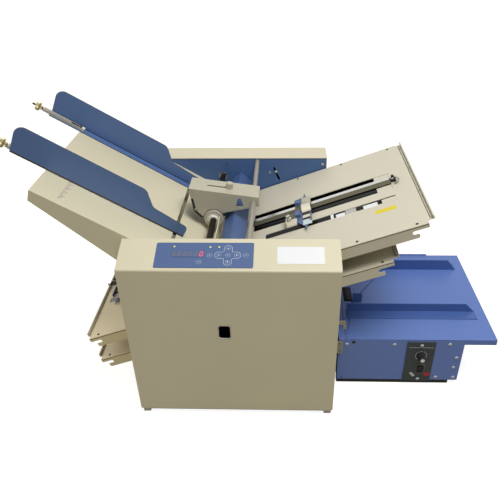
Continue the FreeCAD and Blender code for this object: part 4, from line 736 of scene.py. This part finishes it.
def window_rim():
    """The pale rim in the front cover's window."""
    outer, inner = (rounded_box(WINDOW_X, WINDOW_Z, WINDOW_W + grow, WINDOW_H + grow,
                                WINDOW_R + grow) for grow in (0.9, -0.6))
    rim = Piece()
    rim.frame_strip(outer, inner, "Y", 0.0, 1.6, HUB)
    rim.make("window_rim", "machine", "beige")


for guide_side, bar_y, shift in ADJUSTERS:
    bar_place = TABLE @ Matrix.Translation((shift, 0.0, 0.0))
    ruled_bar(guide_side, bar_y, bar_place)
    knurled_knob(guide_side, bar_y, bar_place)
feed_wheel()
table_scale()
throat_strip()
arm_details()
window_rim()


# ---- fold plates -----------------------------------------------------
OPEN_A, OPEN_B = (236.0, 308.0), (189.0, 208.0)     # y of the wide and the narrow opening
CLEAR = 0.3                                         # room inside an opening's edges
RAIL_Y, RAIL_W, FLUTES, SHADED_FLUTES, FLUTE_STEPS = 257.0, 30.0, 5, 3, 8
RAIL_START, TONGUE, TONGUE_Y, NUT_Y = 21.8, 14.0, (262.0, 282.0), 272.0
BLADE_LOW, BLADE_TOP, HUMP_STEPS = 3.8, 5.8, 10
END_BAR_Z, SEAMS_BACK, SEAM_W, RIVETS_Y = -1.55, (8.5, 3.2), 1.4, (90.0, 198.0, 303.0, 412.0)
MARKS, MARKS_Q, MARK_STEP, MARKS_A, MARKS_B = 34, 136.0, 5.0, OPEN_A[1] + 3.0, 182.0
MARK_LONG, MARK_SHORT, MARK_W, MARK_T = 2.6, 1.3, 0.8, 0.06
# a stop's blade, x from the stop's place along its plate, y across the machine
FRONT_NOSE = ((18.0, 213.0), (38.0, 186.0), (41.0, 168.0), (44.0, 186.0), (44.0, 248.0),
              (18.0, 248.0))
REAR_NOSE = ((18.0, 279.0), (44.0, 279.0), (44.0, 311.0), (41.0, 329.0), (38.0, 311.0),
             (18.0, 308.0))


def barrel(y0, y1, foot0, foot1, low, thick, rise):
    """A folded strap's outline: two feet and a round hump from y0 to y1."""
    middle, half = (y0 + y1) / 2, (y1 - y0) / 2
    def hump(shrink):
        return [(middle - (half - shrink) * math.cos(math.pi * k / HUMP_STEPS), low + thick - shrink
                 + (rise - shrink / 2) * math.sin(math.pi * k / HUMP_STEPS))
                for k in range(HUMP_STEPS + 1)]
    upper = [(foot0, low), (foot0, low + thick)] + hump(0.0) + [(foot1, low + thick), (foot1, low)]
    return upper + hump(thick)[::-1]


def stop_slider(i, at):
    """A paper stop: a blade with two noses, feet through the plate, a strap and brackets."""
    stop = Piece(plate_frame(i))
    # painted shade: on the left plates the strap and foot take the darker rod paint
    strap, foot = by_side(i, ((STRAP, PALE_PLATE), (ROD_PAINT, ROD_PAINT)))
    gap = by_side(i, PLATE_GAP)
    def slab(x0, x1, y0, y1, low, high, finish):
        """A box with x from the stop's place and low and high from the blade's top."""
        stop.box(at + x0, at + x1, y0, y1, BLADE_TOP + low, BLADE_TOP + high, finish)
    under = BLADE_LOW - BLADE_TOP
    stop.prism([(at + x, y) for x, y in FRONT_NOSE], "Z", BLADE_LOW, BLADE_TOP, STOP_PAINT)
    slab(18.0, 44.0, 248.0, 279.0, under, 0.0, RAIL_METAL_AND_SHADE)
    stop.prism([(at + x, y) for x, y in REAR_NOSE], "Z", BLADE_LOW, BLADE_TOP, STOP_PAINT)
    for y in (242.0, 293.0):
        slab(22.0, 25.0, y, y + 9.0, UNDER_SKIN - gap - BLADE_TOP, under, STEEL)
    slab(34.0, 54.0, 276.0, 306.0, 0.0, 1.4, ARM_PAINT)
    slab(34.0, 54.0, 275.2, 276.4, 0.0, 1.5, DARK_STEEL_AND_SHADE)
    stop.prism(barrel(243.0, 275.0, 240.0, 276.0, BLADE_TOP, 1.4, 7.2), "X", at + 34.0, at + 54.0,
               strap)
    # painted shadow: a dark strip along the strap's front edge
    slab(34.0, 54.0, 227.0, 242.0, 0.0, 1.0, DARK_STEEL_AND_SHADE)
    slab(35.0, 54.0, 216.0, 227.0, 0.0, 1.4, strap)
    # painted shade: a dark strip where a hole shows dark
    slab(35.0, 54.0, 207.0, 216.0, 0.0, 1.0, DARK_STEEL_AND_SHADE)
    slab(35.0, 54.0, 187.0, 207.0, 0.0, 1.4, foot)
    stop.turned([(2.8, 0), (2.8, 1.0), (2.0, 1.6)], (at + 40.0, 282.0, BLADE_TOP + 1.4), UP, BRASS,
                count=20)
    slab(19.0, 30.0, 281.0, 293.0, 0.0, 6.0, STOP_PAINT)
    slab(19.0, 30.0, 228.0, 247.0, 0.0, 6.0, STOP_PAINT)
    slab(52.4, 54.0, 198.0, 232.0, 1.4, 7.0, STOP_PAINT)
    slab(0.0, 22.0, 222.0, 249.0, 0.0, 3.0, RAIL_METAL_AND_SHADE)
    slab(0.0, 22.0, 196.0, 222.0, 0.0, 3.0, PLATE_PAINT)
    slab(0.0, 1.6, 198.0, 230.0, 3.0, 9.5, PLATE_PAINT)
    stop.make(f"stop_slider_{i + 1}", f"stop_{i + 1}", "beige", bevel=0.25,
              replaces=(f"stop_carriage_{i + 1}",))


def stop_thumbscrew(i, at):
    screw = Piece(plate_frame(i))
    base = (at + 6.0, 221.0, 0)
    screw.turned([(2.0, 0.3), (2.0, 9.1)], base, UP, DARK_STEEL_AND_SHADE, count=20)
    head = [(4.4, 9.1), (5.0, 9.7), (5.0, 14.4), (4.4, 15.0), (3.0, 15.2), (3.0, 17.2),
            (4.6, 17.8), (4.6, 20.6), (3.8, 21.1)]
    screw.turned(head, base, UP, STEEL, count=80, ridges=20, depth=0.45)
    screw.make(f"stop_thumbscrew_{i + 1}", f"stop_{i + 1}_screw", "steel",
               replaces=(f"stop_knob_{i + 1}",))


def fluted_rails():
    """The rails along the openings: five round flutes, the front ones painted dark as painted
    shade, a tongue at each end and its nuts.
    """
    rails = Piece()
    pitch = RAIL_W / FLUTES
    radius = pitch / 2 - 0.9
    arc = [math.pi * step / FLUTE_STEPS for step in range(FLUTE_STEPS + 1)]
    for i in range(len(PLATES)):
        rails.place = plate_frame(i)
        bright = by_side(i, (CHROME, BAR_METAL))
        q0, q1 = RAIL_START, open_end(i) - CLEAR
        # a dark base, which shows as painted shade in the grooves between the flutes
        rails.box(q0, q1, RAIL_Y, RAIL_Y + RAIL_W, -2.5, 0.9, DARK_STEEL_AND_SHADE)
        for k in range(FLUTES):
            centre = RAIL_Y + pitch * (k + 0.5)
            flute = [(centre + radius * math.cos(turn), 0.8 + radius * math.sin(turn))
                     for turn in arc]
            # painted shade: the front flutes take the dark rail metal, the others the bright metal
            rails.prism(flute, "X", q0, q1, RAIL_METAL_AND_SHADE if k < SHADED_FLUTES else bright)
        for low, high in ((q0 - TONGUE, q0 + 0.5), (q1 - 0.5, q1 + TONGUE)):
            rails.box(low, high, *TONGUE_Y, 0.05, 2.0, DARK_STEEL_AND_SHADE)
        for q in (q0 - TONGUE / 2, q1 + TONGUE / 2):
            rails.turned([(5.4, 0.0), (6.0, 0.5), (6.0, 4.5), (5.4, 5.0)], (q, NUT_Y, 2.05), UP,
                         STEEL, count=60, ridges=15, depth=0.5)
    rails.make("fluted_rails", "machine", "chrome", replaces=("stop_rails",))


def plate_seams(i):
    """Dark lines along the plate's long edges and across its end bar."""
    seams = Piece(plate_frame(i))
    for y0, y1 in ((PLATE_Y0 - 0.12, PLATE_Y0 + 0.1), (PLATE_Y1 - 0.1, PLATE_Y1 + 0.12)):
        seams.box(1.0, skin_end(i) - 1.0, y0, y1, -3.1, UNDER_SKIN, SEAM)
    for back in SEAMS_BACK:
        q = PLATES[i][3] - back
        seams.box(q, q + SEAM_W, PLATE_Y0 + 16.0, PLATE_Y1 - 2.0, END_BAR_Z - 0.01,
                  END_BAR_Z + 0.09, SEAM)
    seams.make(f"plate_seam_{i + 1}", "machine", "dark")


def plate_ruler(i):
    """Ruler ticks along both openings, longer at every fifth."""
    marks = Piece(plate_frame(i))
    for k in range(MARKS):
        q, reach = MARKS_Q + k * MARK_STEP, MARK_LONG if k % 5 == 0 else MARK_SHORT
        if q < open_end(i):
            marks.box(q, q + MARK_W, MARKS_A, MARKS_A + reach, 0.0, MARK_T, PALE_INK)
            marks.box(q, q + MARK_W, MARKS_B - 1.6 * reach, MARKS_B, 0.0, MARK_T, PINK_INK)
    marks.make(f"plate_ruler_{i + 1}", "machine", "beige")


def opening_end(i):
    """The painted bottom of an opening's shallow outer end."""
    ends = Piece(plate_frame(i))
    q1 = open_end(i) - CLEAR
    beside_rail = ((OPEN_A[0], RAIL_Y), (RAIL_Y + RAIL_W, OPEN_A[1]))
    spans, reach, finish = by_side(i, ((beside_rail, 31.2, PLATE_PAINT),
                                       ((OPEN_B,), 46.0, ROD_PAINT)))
    for y0, y1 in spans:
        ends.box(q1 - reach, q1, y0 + CLEAR, y1 - CLEAR, -1.6, -1.0, finish)
    ends.make(f"opening_end_{i + 1}", "machine", "beige")


def end_bar_rivets(i):
    rivets = Piece(plate_frame(i))
    q = (skin_end(i) + PLATES[i][3]) / 2
    for y in RIVETS_Y:
        place = (q, y, END_BAR_Z)
        rivets.turned([(2.4, 0), (2.2, 0.5), (1.2, 0.9)], place, UP, ROD_PAINT, count=18)
    rivets.make(f"end_bar_rivets_{i + 1}", "machine", "beige")


def rail_thumbscrew(i):
    """The stud on the rail's outer nut, and the knurled screw that stands across it."""
    wing = Piece(plate_frame(i))
    q = open_end(i) - CLEAR + TONGUE / 2
    wing.turned([(3.2, 7.1), (3.2, 10.5), (2.4, 11.2)], (q, NUT_Y, 0), UP, DARK_STEEL_AND_SHADE, count=20)
    head = (q + 8.0, 252.0, 8.5)
    wing.turned([(4.8, -1.2), (5.6, -0.5), (5.6, 0.5), (4.8, 1.2)], head, (1.0, -0.9, 0.3),
                BAR_METAL, count=60, ridges=15, depth=0.5)
    wing.turned([(1.8, -16.0), (1.8, 0.0)], head, (0.4, -1.0, 0.1), DARK_STEEL_AND_SHADE, count=16)
    wing.make(f"rail_thumbscrew_{i + 1}", "machine", "steel")


# in the narrow opening of the first plate: (from, to, y0, y1, finish)
TAPES = ((193.0, 199.0, 188.0, 206.0, WHITE), (204.0, 223.0, 187.0, 200.0, WHITE),
         (224.0, 246.0, 189.3, 207.7, STEEL), (261.0, 290.0, 187.0, 201.0, WHITE),
         (299.0, 327.8, 187.0, 203.0, PLATE_PAINT))
TAPE_Z, SUNK_Z = (-0.1, 0.12), (-1.4, -1.0)         # the steel one lies inside the opening


def first_plate_labels():
    """Blank tapes across the narrow opening, and a blank sticker beside it."""
    tape = Piece(plate_frame(0))
    for q0, q1, y0, y1, finish in TAPES:
        tape.box(q0, q1, y0, y1, *(SUNK_Z if finish == STEEL else TAPE_Z), finish)
    tape.make("slot_tapes", "machine", "film")
    sticker = Piece(plate_frame(0))
    sticker.prism(rounded_box(301.25, 161.25, 20.75, 6.75, 3.0), "Z", 0.0, 0.12, YELLOW)
    sticker.make("yellow_blank_sticker", "machine", "film")


for index, stop_at in enumerate(STOP_AT):
    stop_slider(index, stop_at)
    stop_thumbscrew(index, stop_at)
fluted_rails()
for index in range(len(PLATES)):
    plate_seams(index)
    plate_ruler(index)
    opening_end(index)
    end_bar_rivets(index)
    rail_thumbscrew(index)
first_plate_labels()


# ---- delivery unit ---------------------------------------------------
BOX_SCREWS = ((432.0, 113.6), (532.0, 113.4), (647.5, 114.8), (667.5, 77.0), (665.6, 49.0),
              (669.0, 19.5), (631.3, 19.5))
CTRL_SCREWS = ((589.5, 112.7), (592.2, 15.9))
PLATE_SCREWS_BACK = (20.0, 131.0, 239.0)
SPEED_FACE = DEL_FACE - 2.05
DIAL_X, DIAL_Z, DIAL_TICKS, DIAL_STEP, DIAL_START = 591.0, 84.0, 11, 27, 225
TICK_IN, TICK_OUT, TICK_LONG, TICK_HALF = 10.6, 12.8, 13.6, 0.7
ROCKER_X, ROCKER_Z = 593.3, 45.9


def case_screws():
    """Heads on the box and its control plate, and along the fold plates' edges."""
    heads = Piece()
    for x, z in BOX_SCREWS:
        screw_head(heads, x, DEL_FACE - 0.05, z, FRONT, 3.8, 1.9, HEAD_METAL)
    for x, z in CTRL_SCREWS:
        screw_head(heads, x, DEL_FACE - 2.1, z, FRONT, 3.6, 1.8, HEAD_METAL)
    heads.make("case_screw_heads", "machine", "steel", replaces=("case_screws",))
    for i in range(len(PLATES)):
        heads = Piece(plate_frame(i))
        for back in PLATE_SCREWS_BACK:
            for y in (PLATE_Y0 + 8.0, PLATE_Y1 - 8.0):
                screw_head(heads, skin_end(i) - back, y, 0.05, UP, 2.6, 1.2, DARK_STEEL_AND_SHADE)
        heads.make(f"plate_screw_heads_{i + 1}", "machine", "steel")


def speed_plate_print():
    """Ticks around the dial, a line, a blank label and a red marker."""
    lines = Piece()
    face, middle = SPEED_FACE, Vector((DIAL_X, DIAL_Z))
    for k in range(DIAL_TICKS):
        angle = math.radians(DIAL_START - DIAL_STEP * k)
        outer = TICK_OUT if k % 5 else TICK_LONG
        a = Vector((math.cos(angle), math.sin(angle)))
        b = Vector((-a.y, a.x)) * TICK_HALF
        ring = [middle + a * TICK_IN - b, middle + a * outer - b, middle + a * outer + b,
                middle + a * TICK_IN + b]
        lines.prism([tuple(p) for p in ring], "Y", face - 0.08, face, WHITE)
    lines.box(563.0, 615.0, face - 0.08, face, 106.4, 107.1, PRINT)
    lines.prism([(571.5, 32.4), (580.7, 21.6), (585.5, 25.6), (576.3, 36.4)], "Y", face - 0.15,
                face, GREY_LABEL)
    lines.prism([(602.6, 24.4, 4.0), (617.4, 25.4, 4.0), (617.8, 35.0, 4.0), (603.0, 34.0, 4.0)],
                "Y", face - 0.6, face, RED)
    lines.make("speed_plate_print", "machine", "dark_plate")


def rocker_outline():
    rim = Piece()
    rim.frame_strip(rounded_box(ROCKER_X, ROCKER_Z, 9.6, 12.6, 1.6),
                    rounded_box(ROCKER_X, ROCKER_Z, 8.9, 11.9, 1.2), "Y", SPEED_FACE - 1.5,
                    SPEED_FACE, DIM_GREY)
    rim.make("rocker_outline", "machine", "steel")


def speed_dial():
    """A ridged knob with a skirt, a white cap and a pointer line."""
    knob = Piece()
    start = SPEED_FACE - 0.35
    base = (DIAL_X, start, DIAL_Z)
    skirt = [(8.5, 0.0), (8.5, 4.0), (7.2, 5.0), (6.8, 13.6), (6.0, 15.4)]
    knob.turned(skirt, base, FRONT, PLASTIC, count=96, ridges=16, depth=0.7)
    knob.turned([(4.5, 15.3), (4.5, 15.5)], base, FRONT, WHITE, count=32)
    knob.box(DIAL_X - 0.5, DIAL_X + 0.5, start - 15.52, start - 15.3, DIAL_Z + 1.0, DIAL_Z + 5.6,
             PRINT)
    knob.make("speed_dial", "speed_knob", "black_plastic", replaces=("speed_knob",))


def dark_hole(name, x, y, z, radius):
    """A black disc, painted shade, that stands for a hole in a face that looks to the front."""
    hole = Piece()
    hole.turned([(radius, 0.0), (radius, 0.1)], (x, y - 0.1, z), (0, 1, 0), BLACK, count=16)
    hole.make(name, "machine", "dark")


case_screws()
speed_plate_print()
rocker_outline()
speed_dial()
dark_hole("box_hole", 426.2, DEL_FACE, 17.7, 1.6)


# ---- rear frame details ----------------------------------------------
# x, z, forward of the face, radius, height
FRAME_BOLTS = ((278.0, 352.0, 0.1, 3.4, 2.0), (262.4, 350.5, 0.0, 2.6, 1.4),
               (389.7, 371.2, 0.0, 3.4, 1.6))


def frame_bolts():
    bolts = Piece()
    for x, z, ahead, radius, height in FRAME_BOLTS:
        screw_head(bolts, x, FRAME_R - ahead, z, FRONT, radius, height)
    bolts.make("frame_bolts", "machine", "steel")


frame_bolts()
dark_hole("frame_pinhole", 159.1, FRAME_R, 373.0, 1.7)


# ---- floor, light and camera -----------------------------------------
WORLD_LIGHT = 0.25                              # the white surroundings as light, 1 as seen
FLOOR_SIZE, FLOOR_GLOW, FLOOR_COLOR = 9.0, 0.88, (0.42, 0.38, 0.29, 1.0)
BRIGHT = (1.0, 1.0, 1.0, 1.0)
# name, place, target, size, power
LAMPS = (("top_lamp", (0.6, -0.55, 2.3), (0.0, 0.0, 0.25), 1.1, 33.5),
         ("left_lamp", (-1.4, 0.15, 0.9), (-0.35, 0.0, 0.2), 1.1, 4.6),
         ("front_lamp", (-1.2, -2.4, 1.6), (0.0, 0.0, 0.2), 1.6, 3.0))

CAMERA_AT = (298.1, -778.6, 908.9)
YAW, PITCH, ROLL = -2.37, 32.72, -1.09
FOCAL, CENTRE_U, IMAGE, SENSOR = 546.46, 264.95, 500.0, 36.0    # the first three in pixels
CLIP = (0.05, 40.0)


def surroundings(world):
    """White where the camera, a reflection or a see-through part looks, dimmer as light."""
    world.use_nodes = True
    tree = world.node_tree
    path = tree.nodes.new("ShaderNodeLightPath")
    seen = path.outputs["Is Camera Ray"]
    for ray in ("Is Glossy Ray", "Is Transmission Ray"):
        either = tree.nodes.new("ShaderNodeMath")
        either.operation = "MAXIMUM"
        tree.links.new(seen, either.inputs[0])
        tree.links.new(path.outputs[ray], either.inputs[1])
        seen = either.outputs["Value"]
    strength = tree.nodes.new("ShaderNodeMapRange")
    strength.inputs["To Min"].default_value = WORLD_LIGHT
    strength.inputs["To Max"].default_value = 1.0
    tree.links.new(seen, strength.inputs["Value"])
    background = tree.nodes["Background"]
    tree.links.new(strength.outputs["Result"], background.inputs["Strength"])
    background.inputs["Color"].default_value = BRIGHT


def studio():
    scene = bpy.context.scene
    scene.view_settings.view_transform = "Standard"
    scene.world = bpy.data.worlds.new("studio")
    surroundings(scene.world)

    bm = bmesh.new()
    bmesh.ops.create_grid(bm, x_segments=2, y_segments=2, size=FLOOR_SIZE)
    mesh = bpy.data.meshes.new("floor")
    bm.to_mesh(mesh)
    bm.free()
    floor = bpy.data.objects.new("floor", mesh)
    scene.collection.objects.link(floor)
    paper = Shader("floor_paper", FLOOR_COLOR, 0.9, tint=0.01, grain=0.002, bump=0.0)
    seen = paper.node("ShaderNodeLightPath").outputs["Is Camera Ray"]
    paper.bsdf.inputs["Emission Color"].default_value = BRIGHT
    paper.link(paper.math("MULTIPLY", seen, FLOOR_GLOW), paper.bsdf.inputs["Emission Strength"])
    mesh.materials.append(paper.material)

    for name, place, target, size, power in LAMPS:
        lamp = bpy.data.lights.new(name, "AREA")
        lamp.shape = "SQUARE"
        lamp.size = size
        lamp.energy = power
        obj = bpy.data.objects.new(name, lamp)
        scene.collection.objects.link(obj)
        obj.location = place
        obj.rotation_euler = (Vector(target) - Vector(place)).to_track_quat("-Z", "Y").to_euler()


def camera():
    yaw, pitch, roll = (math.radians(a) for a in (YAW, PITCH, ROLL))
    ahead = Vector((math.sin(yaw) * math.cos(pitch), math.cos(yaw) * math.cos(pitch),
                    -math.sin(pitch)))
    right = Vector((math.cos(yaw), -math.sin(yaw), 0.0))
    up = right.cross(ahead)
    right, up = (right * math.cos(roll) + up * math.sin(roll),
                 up * math.cos(roll) - right * math.sin(roll))
    data = bpy.data.cameras.new("camera")
    data.sensor_width = SENSOR
    data.lens = SENSOR * FOCAL / IMAGE
    data.shift_x = (IMAGE / 2 - CENTRE_U) / IMAGE
    data.clip_start, data.clip_end = CLIP
    obj = bpy.data.objects.new("camera", data)
    bpy.context.scene.collection.objects.link(obj)
    turn = Matrix((right, up, -ahead)).transposed().to_4x4()
    obj.matrix_world = Matrix.Translation(GROUND @ Vector(CAMERA_AT)) @ turn
    bpy.context.scene.camera = obj


studio()
camera()

bpy.context.view_layer.update()
